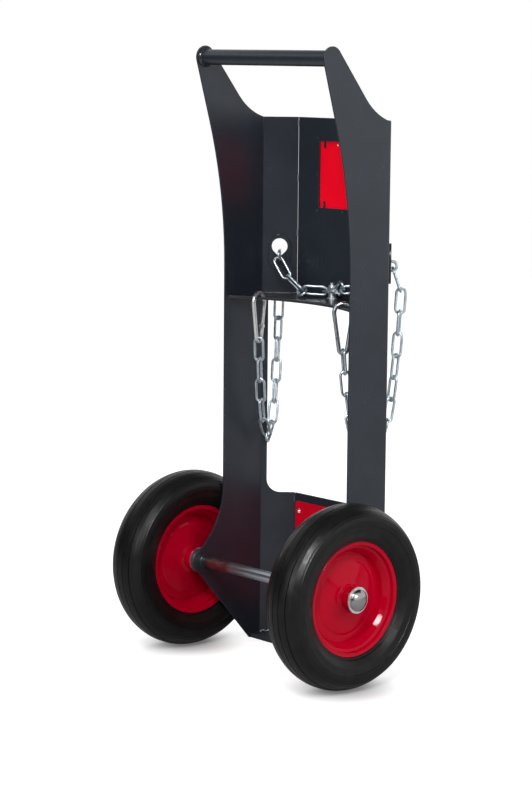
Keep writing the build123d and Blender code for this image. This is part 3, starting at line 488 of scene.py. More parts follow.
# Lit and shaded copies of one plate red: the upper plate's brighter copy is painted light and the lower
# plate's darker copy is painted shade
LIT_PLATE_RED = GlossPaint("red_plate", "red_paint", (0.92, 0.004, 0.020), 0.36, coat=0.1)
SHADED_PLATE_RED = GlossPaint("red_deep", "red_paint", (0.66, 0.003, 0.020), 0.36, coat=0.1)
ZINC = Plating("zinc_plate", "zinc", (0.59, 0.67, 0.73), 0.38, cool=(0.47, 0.54, 0.60))
STEEL_BAR = AxleSteel("drawn_bar", "zinc", (0.48, 0.53, 0.60), 0.36, streak=(0.03, 1.0, 1.0))
# Light and shaded copies of one hook plating: the darker copy is painted shade for the right hook, which
# sits in shade
NICKEL = Plating("hook_plate", "zinc", (0.82, 0.83, 0.83), 0.34, cool=(0.76, 0.77, 0.78), grain_share=0.03)
SHADED_NICKEL = Plating("dull_hook_plate", "zinc", (0.46, 0.48, 0.50), 0.32,
                      cool=(0.40, 0.42, 0.44), grain_share=0.03)
BRIGHT_ZINC = Plating("bright_zinc", "zinc", (0.80, 0.84, 0.87), 0.40, cool=(0.68, 0.73, 0.77))
# Painted light line: the light grey of the stitch welds stands in for the thin bright line along the upper
# panel's seams
SEAM_LIGHT_LINE = PowderCoat("stitch_bead", "anthracite", (0.17, 0.175, 0.18), 0.40, dust=1.5)
CHROME = Plating("chrome_cap", "chrome", (0.37, 0.365, 0.355), 0.17,
                 cool=(0.34, 0.335, 0.33), grain_share=0.0)
CAGE = PowderCoat("bearing_cage", "bearing_plastic", (0.30, 0.30, 0.28), 0.5, dust=1.5)
TYRE_BLACK: Colour = (0.0065, 0.0065, 0.0068)
TYRE_ROUGHNESS = 0.34


# Modelling by hand


def focus(obj: Piece) -> None:
    """Leave edit mode and make one object the only selected one.

    Args:
        obj: Object to select.
    """
    if bpy.context.object and bpy.context.object.mode != "OBJECT":
        bpy.ops.object.mode_set(mode="OBJECT")
    bpy.ops.object.select_all(action="DESELECT")
    obj.select_set(True)
    bpy.context.view_layer.objects.active = obj


def edit_all(obj: Piece) -> None:
    """Enter edit mode on one object with everything in it selected.

    Args:
        obj: Object to edit.
    """
    focus(obj)
    bpy.ops.object.mode_set(mode="EDIT")
    bpy.ops.mesh.select_mode(type="VERT")
    bpy.ops.mesh.select_all(action="SELECT")


def apply_modifier(obj: Piece, kind: str, **settings: object) -> None:
    """Add a modifier, set it and apply it.

    Args:
        obj: Object to change.
        kind: Blender's name of the modifier type.
        settings: Values of the modifier.
    """
    modifier = obj.modifiers.new(kind.lower(), kind)
    for name, value in settings.items():
        setattr(modifier, name, value)
    focus(obj)
    bpy.ops.object.modifier_apply(modifier=modifier.name)


def tidy_shell(obj: Piece, smooth_angle: float) -> None:
    """Merge doubles, turn the faces outwards and shade smooth.

    Args:
        obj: Shell to change.
        smooth_angle: Largest angle, in degrees, that is shaded smooth.
    """
    edit_all(obj)
    bpy.ops.mesh.remove_doubles(threshold=MERGE_GAP)
    bpy.ops.mesh.delete_loose()
    bpy.ops.mesh.select_all(action="SELECT")
    bpy.ops.mesh.normals_make_consistent(inside=False)
    bpy.ops.object.mode_set(mode="OBJECT")
    bpy.ops.object.shade_smooth_by_angle(angle=math.radians(smooth_angle))


def joined(name: str, parts: Sequence[Piece]) -> Piece:
    """Make several shells one object.

    Args:
        name: Name of the object.
        parts: The shells.

    Returns:
        The object.
    """
    focus(parts[0])
    for part in parts[1:]:
        part.select_set(True)
    bpy.ops.object.join()
    parts[0].name = name
    return parts[0]


def add_shape(name: str, add: Callable[..., object], **settings: object) -> Piece:
    """Add one of Blender's simple shapes as the only selected object.

    Args:
        name: Name of the object.
        add: Operator that adds the shape.
        settings: Values of the operator.

    Returns:
        The object.
    """
    bpy.ops.object.select_all(action="DESELECT")
    add(**settings)
    obj = bpy.context.object
    obj.name = name
    return obj


def lumpy(obj: Piece, size: float, depth: float) -> None:
    """Raise soft lumps all over a shell, as on a weld bead.

    Args:
        obj: Shell to change.
        size: Width of a lump.
        depth: Height of the lumps.
    """
    pattern = bpy.data.textures.new(f"{obj.name}_lumps", "CLOUDS")
    pattern.noise_scale = size
    pattern.noise_depth = 1
    apply_modifier(obj, "DISPLACE", texture=pattern, texture_coords="LOCAL", strength=depth, mid_level=0.5)
    bpy.data.textures.remove(pattern)
    tidy_shell(obj, BEAD_ANGLE)


def fit_out(obj: Piece, body: str, finish: Finish, *replaced: str) -> None:
    """Give a new piece its finish and body.

    Args:
        obj: The piece, in place.
        body: Body that it moves with.
        finish: Its finish.
        replaced: Nodes that it stands for.
    """
    if not obj.data.materials:
        obj.data.materials.append(finish.material())
    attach(obj, body)
    if replaced:
        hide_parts(*replaced)
    LOG.info("%s on %s: %d faces", obj.name, body, len(obj.data.polygons))


def paint_node(node: str, finish: Finish) -> None:
    """Give a node that keeps its own shape a better material.

    Args:
        node: Node to paint.
        finish: Its finish.
    """
    materials = frame["nodes"][node].data.materials
    materials.clear()
    materials.append(finish.material())
    LOG.info("%s keeps its shape, finish %s", node, finish.name)


def rounded(corners: Sequence[Corner], closed: bool = True, steps: int = 5) -> list[Point]:
    """Line through corners with an arc at each.

    Args:
        corners: Corners as (x, radius from the axle, rounding).
        closed: Whether the last corner joins the first.
        steps: Pieces in each arc.

    Returns:
        The points of the line.
    """
    points: list[Point] = []
    count = len(corners)
    for number, (x, r, rounding) in enumerate(corners):
        here = Vector((x, r))
        ends = not closed and number in (0, count - 1)
        if ends or rounding <= 0:
            points.append((x, r))
            continue
        before = Vector(corners[number - 1][:2]) - here
        after = Vector(corners[(number + 1) % count][:2]) - here
        half = before.angle(after) / 2
        back = min(rounding / math.tan(half), ARC_SHARE * before.length, ARC_SHARE * after.length)
        start = here + before.normalized() * back
        stop = here + after.normalized() * back
        for step in range(steps + 1):
            share = step / steps
            inner = start.lerp(here, share)
            outer = here.lerp(stop, share)
            points.append(tuple(inner.lerp(outer, share)))
    return points


def thickened(line: Sequence[Point], thickness: float, edge: float, steps: int = 6) -> list[Point]:
    """Closed outline of a sheet along a middle line, with a round bead on each end.

    Args:
        line: Points of the middle line.
        thickness: Sheet thickness.
        edge: Radius of the round ends.
        steps: Pieces in each round end.

    Returns:
        The points of the outline.
    """
    points = [Vector(p) for p in line]
    offsets = []
    for number in range(len(points)):
        run = points[min(number + 1, len(points) - 1)] - points[max(number - 1, 0)]
        offsets.append(Vector((-run.y, run.x)).normalized() * (thickness / 2))
    upper = [tuple(p + o) for p, o in zip(points, offsets)]
    lower = [tuple(p - o) for p, o in zip(points, offsets)]

    def bead(centre: Vector, first: Vector) -> list[Point]:
        """Half circle round one end of the line."""
        turns = [math.atan2(first.y, first.x) - math.pi * (step + 0.5) / steps for step in range(steps)]
        return [(centre.x + edge * math.cos(turn), centre.y + edge * math.sin(turn)) for turn in turns]

    return upper + bead(points[-1], offsets[-1]) + lower[::-1] + bead(points[0], -offsets[0])


def arc_radius(half: float, rise: float) -> float:
    """Radius of the arc that rises by a height over half its width."""
    return (half ** 2 + rise ** 2) / (2 * rise)


def sided(outline: Sequence[Point], side: Side) -> list[Point]:
    """An outline drawn for the right side, turned to one side of the middle plane."""
    return [(side.value * x, r) for x, r in outline]


def lathe(name: str, outline: Sequence[Point], centre: Vector, steps: int,
          smooth_angle: float = TURNED_ANGLE) -> Piece:
    """Turn a closed outline about a line along X.

    Args:
        name: Name of the piece.
        outline: Points as (x from the centre, radius).
        centre: Point on the line.
        steps: Faces round the piece.
        smooth_angle: Largest angle, in degrees, that is shaded smooth.

    Returns:
        The turned piece.
    """
    here = Vector((0, 0, 0))
    obj = add_shape(name, bpy.ops.mesh.primitive_plane_add, size=MM, location=here)
    edit_all(obj)
    bpy.ops.mesh.merge(type="CENTER")
    for number, (x, r) in enumerate([*outline, outline[0]]):
        there = centre + Vector((x, 0, r))
        if number:
            bpy.ops.mesh.extrude_region_move(TRANSFORM_OT_translate={"value": there - here})
        else:
            bpy.ops.transform.translate(value=there - here)
        here = there
    bpy.ops.mesh.select_all(action="SELECT")
    bpy.ops.mesh.spin(steps=steps, angle=math.tau, center=centre, axis=(1, 0, 0))
    tidy_shell(obj, smooth_angle)
    return obj


@dataclass(frozen=True)
class WeldSeam:
    """Lumpy bead along a straight joint, its rounded ends and its lumps given as shares of its radius.

    An edge longer than long_share of the joint runs along it, and is cut into rings.
    """

    radius: float
    sides: int = 14
    long_share: float = 0.9
    ring_gap: float = 1.5 * MM
    least_rings: int = 8
    end_share: float = 0.6
    end_segments: int = 3
    end_angle: float = 50.0
    lump_size: float = 4.5 * MM
    lump_share: float = 0.7

    def lay(self, name: str, start: Vector, stop: Vector) -> Piece:
        """Lay the bead.

        Args:
            name: Name of the bead.
            start: One end of the joint.
            stop: The other end.

        Returns:
            The bead.
        """
        run = stop - start
        turn = run.to_track_quat("Z", "Y").to_euler()
        obj = add_shape(name, bpy.ops.mesh.primitive_cylinder_add, vertices=self.sides, radius=self.radius,
                        depth=run.length, location=(start + stop) / 2, rotation=turn)
        bpy.ops.object.transform_apply(location=True, rotation=True, scale=True)
        edit_all(obj)
        bpy.ops.mesh.select_mode(type="EDGE")
        bpy.ops.mesh.select_all(action="DESELECT")
        bpy.ops.object.mode_set(mode="OBJECT")
        corners = obj.data.vertices
        for edge in obj.data.edges:
            one, two = (corners[number].co for number in edge.vertices)
            edge.select = (one - two).length > self.long_share * run.length
        bpy.ops.object.mode_set(mode="EDIT")
        bpy.ops.mesh.subdivide(number_cuts=max(self.least_rings, round(run.length / self.ring_gap)))
        bpy.ops.object.mode_set(mode="OBJECT")
        apply_modifier(obj, "BEVEL", width=self.end_share * self.radius, segments=self.end_segments,
                       limit_method="ANGLE", angle_limit=math.radians(self.end_angle))
        lumpy(obj, self.lump_size, self.lump_share * self.radius)
        return obj


@dataclass(frozen=True)
class BrokenEdge:
    """Cut edge of a sheet or plate with its corners taken off; angles are in degrees."""

    width: float
    segments: int = 2
    profile: float = 0.6
    flat_angle: float = 0.4
    edge_angle: float = 32.0

    def copy(self, node: str, finish: Finish, edge: Finish) -> None:
        """Make a copy of a node with its edges broken, which stands for it on its body.

        Args:
            node: Node to copy.
            finish: Finish of the faces.
            edge: Finish of the broken edges.
        """
        source = frame["nodes"][node]
        obj = bpy.data.objects.new(f"{node}_edged", source.data.copy())
        bpy.context.scene.collection.objects.link(obj)
        obj.data.materials.clear()
        obj.data.materials.append(finish.material())
        obj.data.materials.append(edge.material())
        edit_all(obj)
        bpy.ops.mesh.customdata_custom_splitnormals_clear()
        bpy.ops.mesh.remove_doubles(threshold=MERGE_GAP)
        bpy.ops.mesh.dissolve_limited(angle_limit=math.radians(self.flat_angle))
        bpy.ops.object.mode_set(mode="OBJECT")
        bpy.ops.object.shade_smooth_by_angle(angle=math.radians(SHEET_ANGLE))
        apply_modifier(obj, "BEVEL", width=self.width, segments=self.segments, limit_method="ANGLE",
                       profile=self.profile, angle_limit=math.radians(self.edge_angle), harden_normals=True,
                       use_clamp_overlap=False, material=1)
        fit_out(obj, source["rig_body"], finish, node)


# The trolley


@dataclass
class SheetBody:
    """Folded side sheets, panels, shelf and toe plate."""

    sheet_edge: float = 0.45 * MM
    slit_edge: float = 0.2 * MM
    plate_edge: float = 1.0 * MM
    shelf_edge: float = 1.3 * MM
    thin_edge: float = 0.4 * MM
    sheet_t: float = 4.0 * MM
    bend: Point = (200.6 * MM, 108.7 * MM)
    bend_angle: float = 45.0
    keyhole_along: float = 39.5 * MM
    keyhole_z: float = 903.5 * MM
    slot_drop: float = 28.5 * MM
    ridge_r: float = 26.0 * MM
    ridge_wire: float = 1.0 * MM
    ridge_sunk: float = 0.25 * MM
    ridge_steps: int = 64
    base_t: float = 10.0 * MM
    foot_weld: Point = (6.0 * MM, 74.0 * MM)
    foot_weld_r: float = 4.4 * MM
    foot_weld_up: float = 1.32 * MM
    foot_weld_out: float = 0.88 * MM
    shelf_weld: Point = (8.0 * MM, 78.0 * MM)
    shelf_weld_r: float = 1.5 * MM
    seam_z: Point = (13.0 * MM, 336.0 * MM)
    seam_r: float = 1.9 * MM
    seam_past: float = 0.3 * MM
    seam_deep: float = 0.5 * MM

    def build(self) -> None:
        """Break the edges of every sheet, lay the coat and add ridges, welds and seams."""
        for node in ("left_side_sheet", "right_side_sheet", "upper_panel"):
            BrokenEdge(self.sheet_edge).copy(node, ANTHRACITE, ANTHRACITE_EDGE)
        BrokenEdge(self.slit_edge).copy("lower_panel", ANTHRACITE, ANTHRACITE)
        for node in ("base_plate", "left_keyhole_doubler", "right_keyhole_doubler"):
            BrokenEdge(self.plate_edge).copy(node, ANTHRACITE, ANTHRACITE_EDGE)
        # The shelf's edges take a lighter colour, as a painted highlight
        BrokenEdge(self.shelf_edge).copy("shelf", SHELF_COAT, SHELF_HIGHLIGHT_EDGE)
        # The upper plate takes the lit copy of the plate red and the lower plate takes the shaded copy, as
        # painted light and painted shade
        BrokenEdge(self.thin_edge).copy("upper_red_plate", LIT_PLATE_RED, LIT_PLATE_RED)
        BrokenEdge(self.thin_edge).copy("lower_red_plate", SHADED_PLATE_RED, SHADED_PLATE_RED)
        foot = self.base_t + self.foot_weld_up
        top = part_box("shelf")[1].z
        for side in Side:
            fit_out(self.keyhole_ridge(side), "frame", ANTHRACITE_WELD)
            weld = self.flange_bead("foot_weld", side, self.foot_weld_r, self.foot_weld, foot,
                                    self.foot_weld_out)
            fit_out(weld, "frame", ANTHRACITE_WELD)
            fit_out(self.lower_seam(side), "frame", ANTHRACITE)
            seam = self.flange_bead("shelf_seam", side, self.shelf_weld_r, self.shelf_weld, top)
            fit_out(seam, "frame", ANTHRACITE_WELD)

    def on_flange(self, side: Side, along: float, z: float, out: float) -> Vector:
        """Point on the back of one flange.

        Args:
            side: Side of the trolley.
            along: Distance from the bend, across the flange.
            z: Height.
            out: Distance that the point stands off the face.

        Returns:
            The point.
        """
        slope = math.cos(math.radians(self.bend_angle))
        back = self.sheet_t / 2 + out
        x = self.bend[0] - slope * (along + back)
        y = self.bend[1] + slope * (along - back)
        return Vector((side.value * x, y, z))

    def keyhole_ridge(self, side: Side) -> Piece:
        """Raise a thin line round one keyhole, on the back of its flange.

        Args:
            side: Side of the trolley.

        Returns:
            The ridge.
        """
        ridge = add_shape(f"{side.word}_keyhole_ridge", bpy.ops.mesh.primitive_circle_add,
                          vertices=self.ridge_steps, radius=self.ridge_r, location=(0, 0, 0),
                          rotation=(math.pi / 2, 0, 0))
        bpy.ops.object.transform_apply(location=True, rotation=True, scale=True)
        edit_all(ridge)
        bpy.ops.mesh.select_all(action="DESELECT")
        bpy.ops.object.mode_set(mode="OBJECT")
        for corner in ridge.data.vertices:
            corner.select = corner.co.z < -MERGE_GAP
        bpy.ops.object.mode_set(mode="EDIT")
        bpy.ops.transform.translate(value=(0, 0, -self.slot_drop))
        focus(ridge)
        bpy.ops.object.convert(target="CURVE")
        ridge.data.bevel_depth = self.ridge_wire
        ridge.data.bevel_resolution = 2
        bpy.ops.object.convert(target="MESH")
        middle = self.on_flange(side, self.keyhole_along, self.keyhole_z, -self.ridge_sunk)
        turn = Matrix.Rotation(-side.value * math.radians(self.bend_angle), 4, "Z")
        ridge.data.transform(Matrix.Translation(middle) @ turn)
        tidy_shell(ridge, BEAD_ANGLE)
        return ridge

    def flange_bead(self, name: str, side: Side, radius: float, reach: Point, z: float,
                    out: float = 0.0) -> Piece:
        """Weld across the back of one flange, between two distances from the bend."""
        ends = [self.on_flange(side, along, z, out) for along in reach]
        return WeldSeam(radius).lay(f"{side.word}_{name}", *ends)

    def lower_seam(self, side: Side) -> Piece:
        """Fill the back of the slit beside the lower panel.

        Args:
            side: Side of the trolley.

        Returns:
            The filling.
        """
        low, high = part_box("lower_panel")
        x = side.value * (high.x + self.seam_past)
        ends = [Vector((x, low.y + self.seam_deep, z)) for z in self.seam_z]
        return WeldSeam(self.seam_r).lay(f"{side.word}_lower_seam", *ends)

    def dress(self) -> None:
        """Coat the pieces that keep their shape."""
        for node in ("handle_tube", "upper_plate_rivets", "axle_spacers"):
            paint_node(node, ANTHRACITE)
        # The stitch welds are coloured light grey, as a painted light line along the seams
        paint_node("panel_stitch_welds", SEAM_LIGHT_LINE)


@dataclass
class WeldRings:
    """Lumpy fillet welds round a bar, one inside each side sheet."""

    node: str
    bar_r: float
    leg: float
    place: Point
    inner_x: float = 198.6 * MM
    sunk: float = 0.8 * MM
    lump_shares: Point = (1.1, 0.40)
    steps: int = 120

    def outline(self) -> list[Point]:
        """Bulging section of the right ring, with its back sunk into the sheet.

        Returns:
            The points of the outline.
        """
        corners = [
            (self.sunk, self.bar_r - self.sunk, 0.0),
            (self.sunk, self.bar_r + self.leg, 0.0),
            (-0.35 * self.leg, self.bar_r + 0.95 * self.leg, 0.25 * self.leg),
            (-0.95 * self.leg, self.bar_r + 0.40 * self.leg, 0.25 * self.leg),
            (-1.1 * self.leg, self.bar_r - self.sunk, 0.0),
        ]
        return rounded(corners, steps=3)

    def build(self) -> None:
        """Turn both rings and raise their ripples."""
        rings = []
        for side in Side:
            centre = Vector((side.value * self.inner_x, *self.place))
            name = f"{side.word}_{self.node}"
            rings.append(lathe(name, sided(self.outline(), side), centre, self.steps, BEAD_ANGLE))
        bead = joined(f"{self.node}_lumpy", rings)
        lumpy(bead, self.lump_shares[0] * self.leg, self.lump_shares[1] * self.leg)
        fit_out(bead, "frame", ANTHRACITE_WELD, self.node)

    def dress(self) -> None:
        """The rings have their coat already."""


@dataclass
class Wheel:
    """One solid tyre on its pressed red rim."""

    side: Side
    tyre_r: float = 200.0 * MM
    tread_half: float = 47.0 * MM
    shoulder_r: float = 182.0 * MM
    wall_half: float = 50.5 * MM
    wall_r: float = 160.0 * MM
    groove_x: tuple[float, ...] = (8.0 * MM, 25.0 * MM)
    groove_w: float = 1.8 * MM
    groove_depth: float = 2.6 * MM
    groove_round: float = 0.5 * MM
    groove_taper: float = 0.7
    lip_r: float = 122.3 * MM
    rim_half: float = 31.5 * MM
    well_r: float = 98.5 * MM
    rim_t: float = 2.5 * MM
    rim_edge_r: float = 1.55 * MM
    disc_t: float = 2.5 * MM
    disc_edge_r: float = 1.2 * MM
    disc_lap: float = 0.1 * MM
    ring_r: float = 77.0 * MM
    hub_r: float = 24.0 * MM
    bend_steps: int = 8
    steps: int = 160
    centre: Vector = field(init=False)

    def __post_init__(self) -> None:
        """Find the middle of the wheel from its tyre node."""
        low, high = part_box(f"{self.side.word}_tyre")
        self.centre = (low + high) / 2

    def crown(self, x: float) -> float:
        """Radius of the tread at a distance from the wheel's middle plane."""
        bend = arc_radius(self.tread_half, self.tyre_r - self.shoulder_r)
        return self.tyre_r - bend + math.sqrt(bend ** 2 - x ** 2)

    def tyre_outline(self) -> list[Point]:
        """Outline of the tyre: ribbed tread, shoulder line, stepped wall and bead.

        Returns:
            The points of the outline.
        """
        half_w = self.groove_w / 2
        tread: list[Corner] = []
        for x in self.groove_x:
            floor = self.crown(x) - self.groove_depth
            foot = self.groove_taper * half_w
            groove = [(x - half_w, self.crown(x - half_w)), (x - foot, floor),
                      (x + foot, floor), (x + half_w, self.crown(x + half_w))]
            tread += [(*point, self.groove_round) for point in groove]
        middle = (self.groove_x[0] + self.groove_x[1]) / 2
        tread.insert(4, (middle, self.crown(middle), 8 * MM))
        outer = (self.groove_x[1] + self.tread_half) / 2
        wall = [
            (outer, self.crown(outer), 12 * MM),
            (self.tread_half - 1.5 * MM, self.crown(self.tread_half - 1.5 * MM), 3 * MM),
            (self.tread_half - 0.6 * MM, self.shoulder_r - 1.0 * MM, 0.8 * MM),
            (self.tread_half + 1.4 * MM, self.shoulder_r - 2.6 * MM, 2 * MM),
            (self.wall_half - 0.2 * MM, self.wall_r + 10 * MM, 16 * MM),
            (self.wall_half - 0.2 * MM, self.wall_r, 1.2 * MM),
            (self.wall_half - 2.0 * MM, self.wall_r - 1.5 * MM, 1.0 * MM),
            (self.wall_half - 4.2 * MM, self.wall_r - 15 * MM, 12 * MM),
            (self.rim_half + 6.5 * MM, self.lip_r + 8 * MM, 6 * MM),
            (self.rim_half + 3.6 * MM, self.lip_r + 5.4 * MM, 1.0 * MM),
            (self.rim_half + 2.6 * MM, self.lip_r + 1.9 * MM, 1.5 * MM),
            (self.rim_half - 2.2 * MM, self.lip_r + 1.7 * MM, 0.4 * MM),
            (self.rim_half - 11.6 * MM, self.lip_r - 6.6 * MM, 0.0),
            (3.0 * MM, self.well_r + 2.4 * MM, 0.0),
        ]
        half = tread + wall
        other = [(-x, r, rounding) for x, r, rounding in reversed(half)]
        return rounded(half + other)

    def rim_outline(self) -> list[Point]:
        """Outline of the rolled rim sheet.

        Returns:
            The points of the outline.
        """
        half = [
            (self.rim_half, self.lip_r, 0.0),
            (self.rim_half - 0.6 * MM, self.lip_r - 6.4 * MM, 1.4 * MM),
            (self.rim_half - 8.6 * MM, self.lip_r - 7.6 * MM, 1.2 * MM),
            (self.rim_half - 10.6 * MM, self.lip_r - 13.6 * MM, 4.0 * MM),
            (self.rim_half - 21.0 * MM, self.well_r + 2.6 * MM, 9.0 * MM),
            (2.5 * MM, self.well_r, 3.0 * MM),
        ]
        line = half + [(-x, r, rounding) for x, r, rounding in reversed(half)]
        bent = rounded(line, closed=False, steps=self.bend_steps)
        return thickened(bent, self.rim_t, self.rim_edge_r)

    def shell_outline(self) -> list[Point]:
        """Outline of the right one of the two pressed shells that make the disc.

        Returns:
            The points of the outline.
        """
        middle = self.disc_t / 2 - self.disc_lap
        line = [
            (middle, self.well_r - 1.3 * MM, 0.0),
            (middle, self.ring_r + 4.0 * MM, 6.0 * MM),
            (middle + 2.0 * MM, self.ring_r - 1.0 * MM, 6.0 * MM),
            (middle + 9.5 * MM, self.hub_r + 7.0 * MM, 12.0 * MM),
            (middle + 14.4 * MM, self.hub_r + 1.4 * MM, 0.0),
        ]
        bent = rounded(line, closed=False, steps=self.bend_steps)
        return thickened(bent, self.disc_t, self.disc_edge_r)

    def build(self) -> None:
        """Turn the tyre, rim and disc on a lathe."""
        word = self.side.word
        body = f"{word}_wheel"
        rubber = Rubber(f"{word}_tyre_rubber", "tyre_rubber", TYRE_BLACK, TYRE_ROUGHNESS,
                        centre=tuple(self.centre))
        tyre = lathe(f"{word}_tyre_ribbed", self.tyre_outline(), self.centre, self.steps)
        fit_out(tyre, body, rubber, f"{word}_tyre")
        rim = lathe(f"{word}_rim_rolled", self.rim_outline(), self.centre, self.steps)
        fit_out(rim, body, RED, f"{word}_rim")
        shells = [lathe(f"{word}_disc_shell", sided(self.shell_outline(), face), self.centre, self.steps)
                  for face in (Side.RIGHT, Side.LEFT)]
        fit_out(joined(f"{word}_disc_pressed", shells), body, RED, f"{word}_wheel_disc")

    def dress(self) -> None:
        """Finish the hub pieces that keep their shape."""
        paint_node(f"{self.side.word}_hub_tube", RED)
        paint_node(f"{self.side.word}_roller_bearings", CAGE)


@dataclass
class Ironmongery:
    """Axle, washers, caps, chains, hooks and fasteners."""

    small_edge: float = 0.4 * MM
    cap_r: float = 23.6 * MM
    cap_skirt: float = 3.8 * MM
    cap_shoulder: float = 1.6 * MM
    cap_dome: float = 8.4 * MM
    cap_t: float = 1.2 * MM
    cap_steps: int = 96
    cap_angle: float = 50.0
    dome_steps: int = 14

    def build(self) -> None:
        """Break the edges of the anchor pieces and press the hub caps."""
        for node in ("anchor_strip", "anchor_washer", "anchor_bush", "anchor_nut"):
            BrokenEdge(self.small_edge).copy(node, BRIGHT_ZINC, BRIGHT_ZINC)
        middle = (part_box("axle")[0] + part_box("axle")[1]) / 2
        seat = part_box("outer_washers")[1].x
        caps = []
        for side in Side:
            outline = sided(self.cap_outline(), side)
            centre = Vector((side.value * seat, middle.y, middle.z))
            caps.append(lathe(f"{side.word}_hub_cap", outline, centre, self.cap_steps, self.cap_angle))
        body = frame["nodes"]["hub_caps"]["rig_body"]
        fit_out(joined("hub_caps_domed", caps), body, CHROME, "hub_caps")

    def cap_outline(self) -> list[Point]:
        """Section of the right cap: short skirt, rolled shoulder and shallow dome.

        Returns:
            The points of the outline.
        """
        outer = self.dome_line(self.cap_r, self.cap_skirt + self.cap_dome)
        inner = self.dome_line(self.cap_r - self.cap_t, self.cap_skirt + self.cap_dome - self.cap_t)
        skirt = [(0.0, self.cap_r, 0.0), (self.cap_skirt, self.cap_r, self.cap_shoulder), (*outer[1], 0.0)]
        shoulder = rounded(skirt, closed=False)[:-1]
        return shoulder + outer[1:] + inner[::-1] + [(0.0, self.cap_r - self.cap_t)]

    def dome_line(self, radius: float, height: float) -> list[Point]:
        """Arc from the skirt's top to the middle of the dome.

        Args:
            radius: Radius at the skirt.
            height: Height of the dome's middle above the washer.

        Returns:
            The points of the arc.
        """
        rise = height - self.cap_skirt
        bend = arc_radius(radius, rise)
        whole = math.asin(radius / bend)
        angles = [whole * (1 - step / self.dome_steps) for step in range(self.dome_steps + 1)]
        return [(height - bend + bend * math.cos(a), bend * math.sin(a)) for a in angles]

    def dress(self) -> None:
        """Plate the pieces that keep their shape."""
        paint_node("axle", STEEL_BAR)
        fasteners = ("anchor_bolt", "lower_plate_screws", "lower_plate_nuts")
        for node in ("inner_washers", "outer_washers", *fasteners):
            paint_node(node, BRIGHT_ZINC)
        for side in Side:
            for node in ("inner_chain", "chain_tail"):
                paint_node(f"{side.word}_{node}", ZINC)
            for node in ("hook_body", "hook_gate", "gate_rivet", "gate_spring"):
                # The right hook takes the darker copy of the plating, as painted shade
                paint_node(f"{side.word}_{node}", NICKEL if side is Side.LEFT else SHADED_NICKEL)


